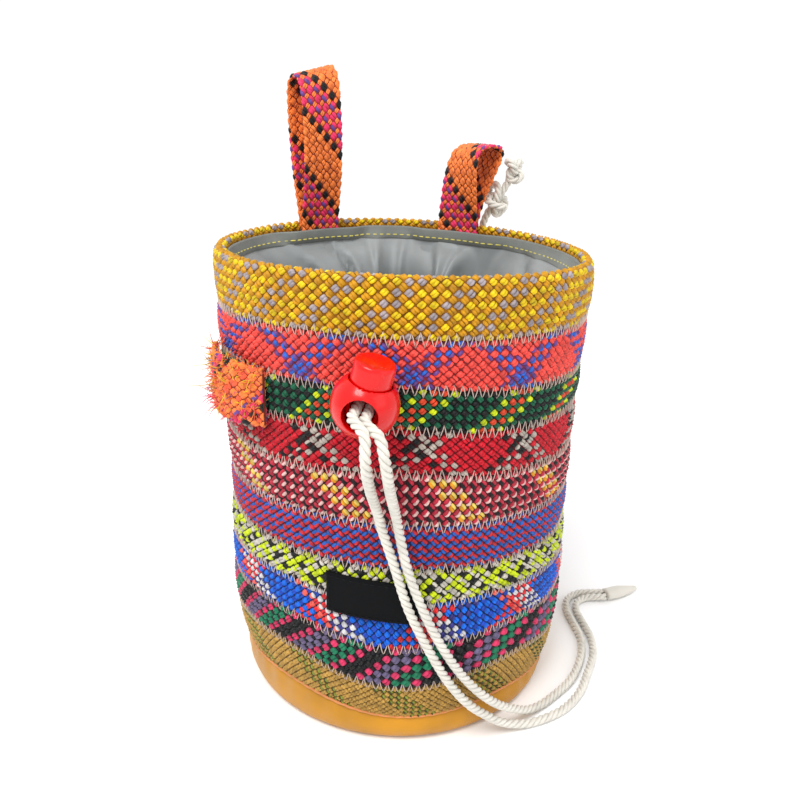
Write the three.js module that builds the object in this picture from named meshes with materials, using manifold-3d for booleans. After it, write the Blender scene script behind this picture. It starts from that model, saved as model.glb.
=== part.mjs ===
// A climbing chalk bag: a round bag sewn from flattened rope sheath, band over band, with a fabric base, a
// gathered grey lining, two hanging loops, a brush loop, a label patch and a drawcord with a ball lock.
// Millimetres, +Z up, the bag's front towards -Y. The origin is the middle of the base, on the floor.
import * as THREE from "three";
import { mergeVertices } from "three/addons/utils/BufferGeometryUtils.js";
import Module from "manifold-3d";

const wasm = await Module();
wasm.setup();

// Driving dimensions
const GAP = 0.3;
const SIDES = 40;
const BAG_HEIGHT = 150;
const RIM_RADIUS = 60;

// Bands of flattened sheath
const BAND_WALL = 2.4;
const BAND_EDGE = 1.4;
const BAND_CROWN = 0.8;

// Base
const BASE_HEIGHT = 8.6;
const BASE_TAPER = 4;
const BASE_WALL = 2;

// How the soft bag has settled: its rings lean to the right and its rim dips at the sides
const RIM_LEAN_DEG = 1;
const FOOT_LEAN_DEG = 3.4;
const RIM_DIP = 1.5;

// Lining
const LINING_WALL = 1.2;
const LINING_SET_DOWN = 1.5;
const GATHER_DEPTH = 9;
const FOLD_DEPTH = 6;

// Hanging loops
const LEFT_LOOP_HEIGHT = 53.5;
const RIGHT_LOOP_HEIGHT = 30;
const STRAP_WIDTH = 16;
const STRAP_THICKNESS = 1.5;
const STRAP_TAIL = 12;
const STRAP_CLEARANCE = 0.8;

// Brush loop
const BRUSH_LOOP_HEIGHT = 20;
const BRUSH_LOOP_TOP = 123;
const BRUSH_LOOP_WALL = 1.8;
const BRUSH_LOOP_BULGE = 5.6;
const BRUSH_LOOP_START_DEG = -39;
const BRUSH_LOOP_END_DEG = -72;

// Label patch
const LABEL_WIDTH = 28;
const LABEL_HEIGHT = 13.6;
const LABEL_THICKNESS = 0.8;
const LABEL_CENTRE_Z = 55.2;
const LABEL_CENTRE_DEG = -7;
const LABEL_TILT_DEG = -2.5;

// Drawcord and its end sleeve
const CORD_DIAMETER = 3;
const CORD_SIDES = 8;
const CORD_SPACING = 3.2;
const CORD_STEP = 7;
const SLEEVE_LENGTH = 15;
const SLEEVE_TIP_RADIUS = 1.2;

// Ball lock
const BALL_RADIUS = 9;
const LOCK_Z = 120;
const LOCK_DEG = -7.5;
const LOCK_TILT_DEG = 14;
const LOCK_NOD_DEG = 6;
const CORD_HOLE_RADIUS = 4.6;
const BUTTON_RADIUS = 5.4;
const BUTTON_CLEARANCE = 0.35;
const BUTTON_TOP = 12.4;
const BUTTON_FLOOR = 1;
const BUTTON_TRAVEL = 2.8;
const BUTTON_DISH = 0.6;

// Tie cord knotted behind the right hanging loop
const TIE_DIAMETER = 3;
const TIE_KNOT_RADIUS = 4.6;
const TIE_KNOT_SHARE = 0.6;
const TIE_END_RADIUS = 4.2;
const TIE_DEG = 151.2;
const TIE_CLEARANCE = 1.16;

// Bands from the rim down: height as a share of the shell's, and radius at the lower seam as a share of the rim's
const BANDS = [
  { name: "band_01_gold", height: 0.11, radius: 0.992, colour: 0xd9a31c },
  { name: "band_02_coral", height: 0.105, radius: 0.983, colour: 0xe8564c },
  { name: "band_03_green", height: 0.088, radius: 0.967, colour: 0x17463a },
  { name: "band_04_crimson", height: 0.095, radius: 0.968, colour: 0xb81a35 },
  { name: "band_05_burgundy", height: 0.106, radius: 0.963, colour: 0xa23b4c },
  { name: "band_06_herringbone", height: 0.096, radius: 0.965, colour: 0x8b4a78 },
  { name: "band_07_neon", height: 0.082, radius: 0.978, colour: 0xb9c23a },
  { name: "band_08_blue", height: 0.097, radius: 0.975, colour: 0x2d5fc4 },
  { name: "band_09_lavender", height: 0.107, radius: 0.972, colour: 0x55506a },
  { name: "band_10_tan", height: 0.114, radius: 0.925, colour: 0xb08f45 },
];

// Section of one band: rise as a share of its height, crown as a share of BAND_CROWN
const BAND_SECTION = [
  { rise: 0, crown: 0 },
  { rise: 0.2, crown: 0.75 },
  { rise: 0.5, crown: 1 },
  { rise: 0.8, crown: 0.75 },
  { rise: 1, crown: 0 },
];

// Lining from its mouth down: depth as a share of the bag's height, draw as a share of GATHER_DEPTH
const LINING_LEVELS = [
  { down: 0, draw: 0 },
  { down: 0.035, draw: 0.02 },
  { down: 0.1, draw: 0.42 },
  { down: 0.16, draw: 0.82 },
  { down: 0.225, draw: 1 },
  { down: 0.32, draw: 0.78 },
  { down: 0.48, draw: 0.3 },
  { down: 0.72, draw: 0.05 },
];

// Main folds of the lining: place round the bag at the mouth, spread, depth as a share of FOLD_DEPTH (a minus
// sign is a hollow), and how far the fold wanders round the bag by the depth of the gather
const LINING_FOLDS = [
  { deg: 20, spread: 16, depth: 0.5, drift: 5 },
  { deg: 62, spread: 18, depth: -0.5, drift: -6 },
  { deg: 104, spread: 17, depth: 0.8, drift: -16 },
  { deg: 136, spread: 13, depth: -0.7, drift: 8 },
  { deg: 160, spread: 12, depth: 1, drift: 0 },
  { deg: 184, spread: 12, depth: -0.6, drift: 0 },
  { deg: 208, spread: 12, depth: 0.7, drift: -14 },
  { deg: 230, spread: 12, depth: 0.8, drift: -16 },
  { deg: 272, spread: 20, depth: -0.5, drift: 6 },
  { deg: 318, spread: 16, depth: 0.6, drift: -6 },
];

// Hanging loops: place round the bag, height above the rim, how far apart its two legs stand, the share by which
// they are pinched together low down, and how far the top is skewed, twisted and leaning, sideways and outwards
const HANGING_LOOPS = [
  {
    name: "hanging_loop_left",
    deg: 216, height: LEFT_LOOP_HEIGHT, spread: 9, pinch: 0,
    skew: 0.24, twistDeg: 0, aside: -1, out: 1,
  },
  {
    name: "hanging_loop_right",
    deg: 158, height: RIGHT_LOOP_HEIGHT, spread: 12, pinch: 0.8,
    skew: 0, twistDeg: 36, aside: 6, out: 3,
  },
];

// Side view of a hanging loop's inner leg: rise as a share of its height, stand as a share of half its spread
const LOOP_LEG = [
  { rise: 0, stand: 0 },
  { rise: 0.12, stand: 0.22 },
  { rise: 0.35, stand: 0.75 },
  { rise: 0.6, stand: 1 },
  { rise: 0.82, stand: 0.98 },
  { rise: 0.93, stand: 0.8 },
  { rise: 0.985, stand: 0.4 },
];

// Plan of the brush loop: place as a share of its arc, stand as a share of its bulge
const BRUSH_LOOP_PLAN = [
  { along: 0, stand: 0 },
  { along: 0.1, stand: 0.25 },
  { along: 0.24, stand: 0.72 },
  { along: 0.42, stand: 1 },
  { along: 0.6, stand: 0.9 },
  { along: 0.78, stand: 0.5 },
  { along: 0.92, stand: 0.12 },
  { along: 1, stand: 0 },
];

// Routes of the two cords after the lock: down the front of the bag, round its foot and along the floor
const CORD_ROUTES = {
  drawcord_left: [
    [-8.5, -82.4, 117.4],
    [-8.2, -84.2, 113],
    [-7.9, -82.6, 107.8],
    [-7.3, -77.6, 101],
    [-6.5, -71.4, 94.2],
    [-5.5, -66.2, 87.8],
    [-4.2, -63.3, 80.6],
    [-1.1, -62.8, 70.4],
    [3.6, -62.8, 54.8],
    [10.8, -61.7, 38.4],
    [16.9, -59.7, 26.2],
    [23.2, -57.3, 16.8],
    [29.4, -54.2, 9.9],
    [35.8, -51.3, 4.4],
    [43.6, -48.6, 1.8],
    [51.7, -45.1, 1.6],
    [58.3, -40.5, 1.6],
    [64.6, -32.8, 1.6],
    [69.6, -22.6, 1.6],
    [73.8, -12.4, 1.6],
    [75.2, -3, 1.6],
    [74.2, 6.6, 1.6],
    [73.2, 14.6, 1.6],
    [74.6, 20.6, 1.6],
    [78.8, 23.8, 1.7],
    [83.2, 24.2, 1.9],
    [87.4, 24.3, 2.1],
  ],
  drawcord_right: [
    [-4.8, -82.4, 116.8],
    [-3.6, -84.1, 112.5],
    [-2.9, -82.4, 107.2],
    [-2.3, -77.2, 100.4],
    [-1.5, -71, 93.5],
    [-0.6, -66, 87],
    [0.5, -63.2, 79.6],
    [2.8, -62.8, 68.8],
    [8.9, -62.4, 51.8],
    [15.6, -60.5, 37.4],
    [21.9, -58, 26.6],
    [28, -55.5, 18.6],
    [33.6, -52, 12.2],
    [39.2, -47.8, 7],
    [44.8, -43.6, 3],
    [50.4, -39.2, 1.6],
    [56.2, -33.8, 1.6],
    [61.9, -27.6, 1.6],
    [66.4, -19.8, 1.6],
    [69.8, -11, 1.6],
    [71.2, -2.4, 1.6],
    [70.3, 6.4, 1.6],
    [69.4, 15.2, 1.6],
    [71.2, 23, 1.6],
    [77, 27.4, 1.7],
    [82.4, 27.7, 1.9],
    [86.9, 27.5, 2.1],
  ],
};

// Middle of the end sleeve's wide face, and the floor direction in which it points
const SLEEVE_FACE = { x: 87.7, y: 25.9, z: 2.25 };
const SLEEVE_DEG = 20;

// Route of the tie cord from the rim's outer side to its end knot, as steps from the rim beside it
const TIE_ROUTE = [
  [0, 0, -7.5],
  [0.3, 0.3, -0.5],
  [2, 0.3, 4.6],
  [5.2, 0, 9.6],
  [8.4, -0.1, 15],
  [11.2, 0, 21],
];

// Sizes that follow
const SHELL_HEIGHT = BAG_HEIGHT - BASE_HEIGHT;
const CORD_RADIUS = CORD_DIAMETER / 2;
const LINING_MOUTH_Z = BAG_HEIGHT - LINING_SET_DOWN;
const POCKET_DEPTH = 2 * STRAP_THICKNESS + STRAP_CLEARANCE + 2 * GAP;

const radians = THREE.MathUtils.degToRad;
const lerp = THREE.MathUtils.lerp;
const smoothstep = THREE.MathUtils.smoothstep;

// Colour and surface of each material
const cloth = (colour) => new THREE.MeshStandardMaterial({ color: colour, roughness: 0.75, metalness: 0 });
const plastic = (colour) => new THREE.MeshStandardMaterial({ color: colour, roughness: 0.25, metalness: 0 });

function named(name, geometry, material) {
  const mesh = new THREE.Mesh(geometry, material);
  mesh.name = name;
  return mesh;
}

// Seams between the bands, from the rim down
function shellSeams() {
  const total = BANDS.reduce((sum, band) => sum + band.height, 0);
  const seams = [{ z: BAG_HEIGHT, radius: RIM_RADIUS }];
  let used = 0;
  for (const band of BANDS) {
    used += band.height;
    seams.push({ z: BAG_HEIGHT - (SHELL_HEIGHT * used) / total, radius: RIM_RADIUS * band.radius });
  }
  return seams;
}
const SEAMS = shellSeams();
const BASE_SEAM_RADIUS = SEAMS[SEAMS.length - 1].radius;
const BASE_FLOOR_RADIUS = BASE_SEAM_RADIUS - BASE_TAPER;

function shellRadius(z) {
  const lower = SEAMS.findIndex((seam) => seam.z <= z);
  if (lower === 0) return SEAMS[0].radius;
  if (lower < 0) return SEAMS[SEAMS.length - 1].radius;
  const [above, below] = [SEAMS[lower - 1], SEAMS[lower]];
  return lerp(below.radius, above.radius, (z - below.z) / (above.z - below.z));
}

// Where a point of the upright bag comes to lie once the bag has settled
function settledZ(x, z) {
  const foot = Math.min(z / BASE_HEIGHT, 1);
  const up = Math.max(z - BASE_HEIGHT, 0) / SHELL_HEIGHT;
  const lean = Math.tan(radians(foot * lerp(FOOT_LEAN_DEG, RIM_LEAN_DEG, up)));
  const dip = RIM_DIP * Math.max(up, 0) * (x / RIM_RADIUS) ** 2;
  return z - x * lean - dip;
}

function moved(geometry, place) {
  const position = geometry.attributes.position;
  for (let i = 0; i < position.count; i += 1) {
    const [x, y, z] = place(position.getX(i), position.getY(i), position.getZ(i));
    position.setXYZ(i, x, y, z);
  }
  return geometry;
}

const settled = (geometry) => moved(geometry, (x, y, z) => [x, y, settledZ(x, z)]);

// A closed profile of [radius, z] pairs turned about Z, its first side at the front
function turned(profile, sides = SIDES) {
  const points = profile.map(([radius, z]) => new THREE.Vector2(radius, z));
  return new THREE.LatheGeometry(points, sides).rotateX(Math.PI / 2);
}

function onRing(degrees, radius, z) {
  return [radius * Math.sin(radians(degrees)), -radius * Math.cos(radians(degrees)), z];
}

// Outline of a thin strip along a centreline of [x, y] pairs
function stripShape(centreline, thickness) {
  const side = (sign) =>
    centreline.map(([x, y], i) => {
      const before = centreline[Math.max(i - 1, 0)];
      const after = centreline[Math.min(i + 1, centreline.length - 1)];
      const along = new THREE.Vector2(after[0] - before[0], after[1] - before[1]).normalize();
      return new THREE.Vector2(x - (sign * along.y * thickness) / 2, y + (sign * along.x * thickness) / 2);
    });
  return new THREE.Shape([...side(1), ...side(-1).reverse()]);
}

function curveThrough(points) {
  return new THREE.CatmullRomCurve3(points.map((p) => new THREE.Vector3(...p)), false, "centripetal");
}

function tube(points, diameter, sides, step) {
  const curve = curveThrough(points);
  const corner = (i) => [
    (diameter / 2) * Math.cos((2 * Math.PI * i) / sides),
    (diameter / 2) * Math.sin((2 * Math.PI * i) / sides),
  ];
  const section = new THREE.Shape(Array.from({ length: sides }, (_, i) => new THREE.Vector2(...corner(i))));
  const steps = Math.round(curve.getLength() / step);
  return new THREE.ExtrudeGeometry(section, { steps, extrudePath: curve, curveSegments: 1 });
}

// A closed geometry as a solid that can be cut and joined, and back
function solid(geometry) {
  const bare = geometry.clone();
  bare.deleteAttribute("normal");
  bare.deleteAttribute("uv");
  const merged = mergeVertices(bare, 1e-4);
  return new wasm.Manifold(
    new wasm.Mesh({
      numProp: 3,
      vertProperties: new Float32Array(merged.attributes.position.array),
      triVerts: new Uint32Array(merged.index.array),
    }),
  );
}

function geometryOf(manifold) {
  const mesh = manifold.getMesh();
  const geometry = new THREE.BufferGeometry();
  geometry.setAttribute("position", new THREE.BufferAttribute(new Float32Array(mesh.vertProperties), 3));
  geometry.setIndex(new THREE.BufferAttribute(new Uint32Array(mesh.triVerts), 1));
  return geometry;
}

// One band: a flattened tube of sheath, laid round the bag
function bandMesh(band, index) {
  const top = { z: SEAMS[index].z - (index === 0 ? 0 : GAP / 2), radius: SEAMS[index].radius };
  const bottom = { z: SEAMS[index + 1].z + GAP / 2, radius: SEAMS[index + 1].radius };
  const outer = BAND_SECTION.map(({ rise, crown }) => [
    lerp(bottom.radius, top.radius, rise) + crown * BAND_CROWN,
    lerp(bottom.z, top.z, rise),
  ]);
  const inner = [
    [top.radius - BAND_EDGE, top.z],
    [(top.radius + bottom.radius) / 2 - BAND_WALL, (top.z + bottom.z) / 2],
    [bottom.radius - BAND_EDGE, bottom.z],
  ];
  return named(band.name, settled(turned([...outer, ...inner, outer[0]])), cloth(band.colour));
}

// The base: a shallow fabric cup with a flat underside
function baseMesh() {
  const top = BASE_HEIGHT - GAP / 2;
  const seam = BASE_SEAM_RADIUS - GAP / 2;
  const profile = [
    [0, 0],
    [BASE_FLOOR_RADIUS, 0],
    [lerp(BASE_FLOOR_RADIUS, seam, 0.75), 0.14 * top],
    [lerp(BASE_FLOOR_RADIUS, seam, 1.02), 0.42 * top],
    [seam, 0.75 * top],
    [lerp(BASE_FLOOR_RADIUS, seam, 0.9), top],
    [seam - BASE_WALL, top],
    [seam - BASE_WALL, 0.5 * top],
    [BASE_FLOOR_RADIUS - BASE_WALL / 2, BASE_WALL],
    [0, BASE_WALL],
  ];
  return named("base", settled(turned(profile)), cloth(0xe0a312));
}

// How far the lining is drawn in from the shell at a place round the bag
function liningDraw(degrees, z) {
  const down = (LINING_MOUTH_Z - z) / BAG_HEIGHT;
  const lower = LINING_LEVELS.findIndex((level) => level.down >= down);
  const below = LINING_LEVELS[lower < 0 ? LINING_LEVELS.length - 1 : lower];
  const above = LINING_LEVELS[Math.max(LINING_LEVELS.indexOf(below) - 1, 0)];
  const share = below === above ? 0 : (down - above.down) / (below.down - above.down);
  const draw = down <= 0 ? above.draw : lerp(above.draw, below.draw, Math.min(share, 1));
  let fold = 0;
  for (const one of LINING_FOLDS) {
    const away = THREE.MathUtils.euclideanModulo(degrees - one.deg - one.drift * draw + 180, 360) - 180;
    fold += one.depth * Math.exp(-((away / one.spread) ** 2) * 2);
  }
  return draw * (GATHER_DEPTH + FOLD_DEPTH * fold);
}

// How far the lining stands in from the shell where a hanging loop's tails go down between them
function tailPocket(degrees, z) {
  const halfDeg = THREE.MathUtils.radToDeg(STRAP_WIDTH / 2 / RIM_RADIUS);
  let pocket = 0;
  for (const loop of HANGING_LOOPS) {
    const away = Math.abs(THREE.MathUtils.euclideanModulo(degrees - loop.deg + 180, 360) - 180);
    pocket = Math.max(pocket, 1 - smoothstep(away, 1.6 * halfDeg, 3 * halfDeg));
  }
  const depth = BAG_HEIGHT - z;
  return POCKET_DEPTH * pocket * (1 - smoothstep(depth, 2 * STRAP_TAIL, 3 * STRAP_TAIL));
}

// The lining: a soft cup inside the shell, gathered by the drawcord a little below its mouth
function liningMesh() {
  const floor = BASE_WALL + GAP;
  const footRadius = BASE_FLOOR_RADIUS - BASE_WALL / 2 - 3 * GAP;
  const footRise = 2 * BASE_HEIGHT;
  const chordSlack = RIM_RADIUS * (1 - Math.cos(Math.PI / SIDES));
  const outerRadius = (z) => Math.min(shellRadius(z) - BAND_WALL, RIM_RADIUS - BAND_WALL) - GAP - chordSlack;
  const levels = LINING_LEVELS.map(({ down }) => LINING_MOUTH_Z - down * BAG_HEIGHT);
  const outer = [
    [0, floor],
    [footRadius, floor],
    [outerRadius(footRise), footRise],
    ...levels.toReversed().map((z) => [outerRadius(z), z]),
  ];
  const inner = [
    ...levels.map((z) => [outerRadius(z) - LINING_WALL, z]),
    [outerRadius(footRise) - LINING_WALL, footRise],
    [footRadius - LINING_WALL, floor + LINING_WALL],
    [0, floor + LINING_WALL],
  ];
  const drawn = moved(turned([...outer, ...inner]), (x, y, z) => {
    const radius = Math.hypot(x, y);
    if (radius < 1e-6) return [0, 0, z];
    const degrees = THREE.MathUtils.radToDeg(Math.atan2(x, -y));
    const share = (radius - Math.max(liningDraw(degrees, z), tailPocket(degrees, z))) / radius;
    return z < footRise ? [x, y, z] : [x * share, y * share, z];
  });
  return named("lining", settled(drawn), cloth(0x8f9494));
}

// A hanging loop: one strap of sheath, folded over, both tails sewn in between the shell and the lining
function hangingLoopMesh(loop) {
  const tailOut = STRAP_THICKNESS + GAP;
  const standOff = ({ rise, stand }) => (stand * (1 - loop.pinch * (1 - rise)) * loop.spread) / 2;
  const leg = LOOP_LEG.map((row) => [-standOff(row), row.rise * loop.height]);
  const inner = [[0, -STRAP_TAIL], ...leg];
  const outer = inner.toReversed().map(([out, up]) => [tailOut - out, up]);
  const crown = [tailOut / 2, loop.height];
  const shape = stripShape([...inner, crown, ...outer], STRAP_THICKNESS);
  const strap = new THREE.ExtrudeGeometry(shape, { depth: STRAP_WIDTH, steps: 2, bevelEnabled: false });
  strap.translate(0, 0, -STRAP_WIDTH / 2);
  const seat = RIM_RADIUS - BAND_WALL - STRAP_CLEARANCE / 2 - tailOut - STRAP_THICKNESS / 2 - GAP;
  const [outX, outY] = onRing(loop.deg, 1, 0);
  const rimZ = settledZ(seat * outX, BAG_HEIGHT);
  return named(
    loop.name,
    moved(strap, (out, up, across) => {
      const rise = Math.max(up, 0) / loop.height;
      const twist = radians(loop.twistDeg * rise);
      const turnedOut = out * Math.cos(twist) - across * Math.sin(twist);
      const turnedAcross = out * Math.sin(twist) + across * Math.cos(twist);
      const hug = across ** 2 / (2 * seat);
      const radial = seat + turnedOut - hug * (1 - Math.min(rise, 1)) + loop.out * rise ** 2;
      const tangent = turnedAcross + loop.aside * rise ** 1.5;
      return [
        radial * outX + tangent * outY,
        radial * outY - tangent * outX,
        rimZ + up + loop.skew * across * rise,
      ];
    }),
    cloth(0xe86a3a),
  );
}

// The brush loop: a short strip of worn sheath that stands off the shell as an upright tube
function brushLoopMesh() {
  const seat = shellRadius(BRUSH_LOOP_TOP) + BAND_CROWN + GAP + BRUSH_LOOP_WALL / 2;
  const standOff = BRUSH_LOOP_BULGE - BRUSH_LOOP_WALL;
  const centreline = BRUSH_LOOP_PLAN.map(({ along, stand }) => {
    const degrees = lerp(BRUSH_LOOP_START_DEG, BRUSH_LOOP_END_DEG, along);
    return onRing(degrees, seat + stand * standOff, 0).slice(0, 2);
  });
  const shape = stripShape(centreline, BRUSH_LOOP_WALL);
  const strip = new THREE.ExtrudeGeometry(shape, { depth: BRUSH_LOOP_HEIGHT, steps: 2, bevelEnabled: false });
  strip.translate(0, 0, BRUSH_LOOP_TOP - BRUSH_LOOP_HEIGHT);
  return named("brush_loop", settled(strip), cloth(0xee7a3c));
}

// The label: a small woven patch that follows the round of the shell
function labelMesh() {
  const radius = shellRadius(LABEL_CENTRE_Z) + BAND_CROWN + GAP + LABEL_THICKNESS / 2;
  const halfDeg = THREE.MathUtils.radToDeg(LABEL_WIDTH / 2 / radius);
  const columns = 8;
  const centreline = Array.from({ length: columns + 1 }, (_, i) => {
    const degrees = LABEL_CENTRE_DEG + lerp(-halfDeg, halfDeg, i / columns);
    return onRing(degrees, radius, 0).slice(0, 2);
  });
  const shape = stripShape(centreline, LABEL_THICKNESS);
  const patch = new THREE.ExtrudeGeometry(shape, { depth: LABEL_HEIGHT, steps: 1, bevelEnabled: false });
  const [middleX] = onRing(LABEL_CENTRE_DEG, radius, 0);
  const slope = Math.tan(radians(LABEL_TILT_DEG));
  const raised = moved(patch, (x, y, up) => {
    const level = LABEL_CENTRE_Z - LABEL_HEIGHT / 2 + up;
    return [x, y, settledZ(x, level) + (x - middleX) * slope];
  });
  return named("label_patch", raised, cloth(0x1a1a1c));
}

// The lock's own frame: its ball sits against the shell, its cord hole points out of the bag
function lockFrame() {
  const radius = shellRadius(LOCK_Z) + BAND_CROWN + GAP + BALL_RADIUS;
  const [x, y] = onRing(LOCK_DEG, radius, 0);
  const frame = new THREE.Group();
  frame.position.set(x, y, settledZ(x, LOCK_Z));
  frame.rotation.set(radians(LOCK_NOD_DEG), radians(LOCK_TILT_DEG), radians(LOCK_DEG), "ZXY");
  frame.updateMatrixWorld(true);
  return frame;
}

// A cylinder of the lock, from one height to another on its button's axis
function onButtonAxis(radius, low, high, sides) {
  const cylinder = new THREE.CylinderGeometry(radius, radius, high - low, sides);
  return cylinder.rotateX(Math.PI / 2).translate(0, 0, (low + high) / 2);
}

// The ball: bored down for the button and across for the two cords
function lockBodyMesh() {
  const bore = BUTTON_RADIUS + BUTTON_CLEARANCE;
  const boreFloor = -(CORD_RADIUS + GAP + BUTTON_FLOOR + BUTTON_TRAVEL + GAP);
  const holeLength = 4 * BALL_RADIUS;
  const lipDepth = 2;
  const ball = solid(new THREE.SphereGeometry(BALL_RADIUS, 22, 14).rotateX(Math.PI / 2));
  const well = solid(onButtonAxis(bore, boreFloor, 2 * BALL_RADIUS, 20));
  const hole = solid(new THREE.CylinderGeometry(CORD_HOLE_RADIUS, CORD_HOLE_RADIUS, holeLength, 16));
  const lipReach = Math.sqrt(BALL_RADIUS ** 2 - CORD_HOLE_RADIUS ** 2);
  const lip = new THREE.CylinderGeometry(CORD_HOLE_RADIUS, CORD_HOLE_RADIUS + lipDepth, 2 * lipDepth, 16);
  lip.translate(0, -(lipReach - lipDepth / 2), 0);
  return named("lock_ball", geometryOf(ball.subtract(well).subtract(hole).subtract(solid(lip))), plastic(0xd81410));
}

// The button: a dished plunger with a window that the two cords run through
function lockButtonMesh() {
  const floor = -(CORD_RADIUS + GAP + BUTTON_FLOOR);
  const windowLow = -(CORD_RADIUS + GAP);
  const windowHigh = CORD_RADIUS + GAP + BUTTON_TRAVEL;
  const windowWidth = CORD_SPACING + CORD_DIAMETER + 2 * GAP;
  const bevel = BUTTON_DISH;
  const profile = [
    [0, floor],
    [BUTTON_RADIUS, floor],
    [BUTTON_RADIUS, BUTTON_TOP - bevel],
    [BUTTON_RADIUS - bevel, BUTTON_TOP],
    [0.7 * BUTTON_RADIUS, BUTTON_TOP - 0.4 * BUTTON_DISH],
    [0, BUTTON_TOP - BUTTON_DISH],
  ];
  const plunger = solid(turned(profile, 20));
  const pane = new THREE.BoxGeometry(windowWidth, 4 * BUTTON_RADIUS, windowHigh - windowLow);
  pane.translate(0, 0, (windowLow + windowHigh) / 2);
  return named("lock_button", geometryOf(plunger.subtract(solid(pane))), plastic(0xe01812));
}

// A drawcord: out of the shell, through the lock, then along its route
function drawcordMesh(name, side, frame) {
  const across = (side * CORD_SPACING) / 2;
  const shellEnd = BALL_RADIUS - GAP;
  const inside = [shellEnd, shellEnd / 2, 0, -BALL_RADIUS / 2, -BALL_RADIUS].map((along) => {
    const point = frame.localToWorld(new THREE.Vector3(across, along, 0));
    return point.toArray();
  });
  return named(name, tube([...inside, ...CORD_ROUTES[name]], CORD_DIAMETER, CORD_SIDES, CORD_STEP), cloth(0xf1efe6));
}

// The sleeve on the cords' ends: a flattened taper
function sleeveMesh() {
  const wide = (CORD_SPACING + CORD_DIAMETER) / 2;
  const flatness = (SLEEVE_FACE.z - GAP / 2) / wide;
  const profile = [
    [0, 0],
    [wide, 0],
    [wide, 0.35 * SLEEVE_LENGTH],
    [lerp(wide, SLEEVE_TIP_RADIUS, 0.6), 0.75 * SLEEVE_LENGTH],
    [SLEEVE_TIP_RADIUS, SLEEVE_LENGTH],
    [0, SLEEVE_LENGTH],
  ];
  const taper = turned(profile, 12).rotateY(Math.PI / 2).scale(1, 1, flatness);
  const sleeve = named("cord_end_sleeve", taper, cloth(0xe9e6dc));
  sleeve.position.set(SLEEVE_FACE.x + GAP, SLEEVE_FACE.y, SLEEVE_FACE.z);
  sleeve.rotation.z = radians(SLEEVE_DEG);
  return sleeve;
}

// The tie cord: a short end with an overhand knot and a knotted tip
function tieCordMesh() {
  const [rimX, rimY] = onRing(TIE_DEG, RIM_RADIUS + TIE_CLEARANCE + TIE_DIAMETER / 2, 0);
  const route = TIE_ROUTE.map(([right, back, up]) => [rimX + right, rimY + back, BAG_HEIGHT + up]);
  const curve = curveThrough(route);
  const cord = solid(tube(route, TIE_DIAMETER, CORD_SIDES, 2 * TIE_DIAMETER));
  const lump = (radius, share, squash) => {
    const at = curve.getPointAt(share);
    const ball = new THREE.SphereGeometry(radius, 12, 8).rotateX(Math.PI / 2);
    return solid(ball.scale(1, squash, 1).translate(at.x, at.y, at.z));
  };
  const knot = lump(TIE_KNOT_RADIUS, TIE_KNOT_SHARE, 0.8);
  const tip = lump(TIE_END_RADIUS, 1, 0.9);
  return named("tie_cord", geometryOf(cord.add(knot).add(tip)), cloth(0xe4e0d2));
}

const chalkBag = new THREE.Group();
BANDS.forEach((band, index) => chalkBag.add(bandMesh(band, index)));
chalkBag.add(baseMesh(), liningMesh(), brushLoopMesh(), labelMesh());
HANGING_LOOPS.forEach((loop) => chalkBag.add(hangingLoopMesh(loop)));

const lock = lockFrame();
lock.add(lockBodyMesh(), lockButtonMesh());
chalkBag.add(lock);
chalkBag.add(drawcordMesh("drawcord_left", -1, lock), drawcordMesh("drawcord_right", 1, lock));
chalkBag.add(sleeveMesh(), tieCordMesh());

export default chalkBag;
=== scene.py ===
import math

import bmesh
import bpy
import numpy as np
from mathutils import Euler, Matrix, Vector


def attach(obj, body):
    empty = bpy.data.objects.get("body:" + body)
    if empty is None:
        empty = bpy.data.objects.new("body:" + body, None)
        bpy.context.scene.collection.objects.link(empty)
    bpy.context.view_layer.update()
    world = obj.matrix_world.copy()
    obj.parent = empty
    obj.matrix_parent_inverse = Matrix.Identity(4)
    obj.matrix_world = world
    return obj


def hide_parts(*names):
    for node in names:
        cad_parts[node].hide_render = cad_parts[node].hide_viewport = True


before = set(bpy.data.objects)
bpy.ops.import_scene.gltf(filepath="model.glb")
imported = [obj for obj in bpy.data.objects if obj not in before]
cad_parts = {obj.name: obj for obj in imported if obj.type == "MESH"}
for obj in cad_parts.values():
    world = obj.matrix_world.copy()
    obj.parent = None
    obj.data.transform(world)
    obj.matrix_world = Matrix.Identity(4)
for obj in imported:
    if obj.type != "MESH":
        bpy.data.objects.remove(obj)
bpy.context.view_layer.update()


def table(columns, *rows):
    """Rows of a table, each as a dict under the names of its columns."""
    return [dict(zip(columns.split(), row)) for row in rows]


MM = 0.001
SEED = 7

# Camera
CAMERA_AT = (0, -251, 188)
CAMERA_PITCH_DEG = 70
CAMERA_ROLL_DEG = 1.2
CAMERA_LENS = 34.65
CAMERA_SHIFT = -0.001

# Shell
BAG_HEIGHT = 150
RIM_RADIUS = 60
BASE_HEIGHT = 8.6
SHELL_HEIGHT = BAG_HEIGHT - BASE_HEIGHT
BAND_WALL = 2.4
BAND_CROWN = 0.8
RIM_LEAN_DEG = 1
FOOT_LEAN_DEG = 3.4
RIM_DIP = 1.5
SHELL_WOBBLE = 0.22
SEAM_WOBBLE = 0.22
PITCH_EASE = 0.035
RIM_FOLD = 1.1

# How far seams rise at the bag's front and at its two front quarters, by number from the rim
FRONT_SPREAD_DEG = 22
QUARTER_DEG = 38
QUARTER_SPREAD_DEG = 24
SEAM_COURSES = {
    2: dict(front=1.4, sides=0), 3: dict(front=2, sides=0), 4: dict(front=2, sides=0),
    5: dict(front=0.5, sides=0), 7: dict(front=0, sides=1.5), 8: dict(front=-3, sides=2.5),
    9: dict(front=-2.5, sides=4.5), 10: dict(front=0.4, sides=4.2),
}

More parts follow.
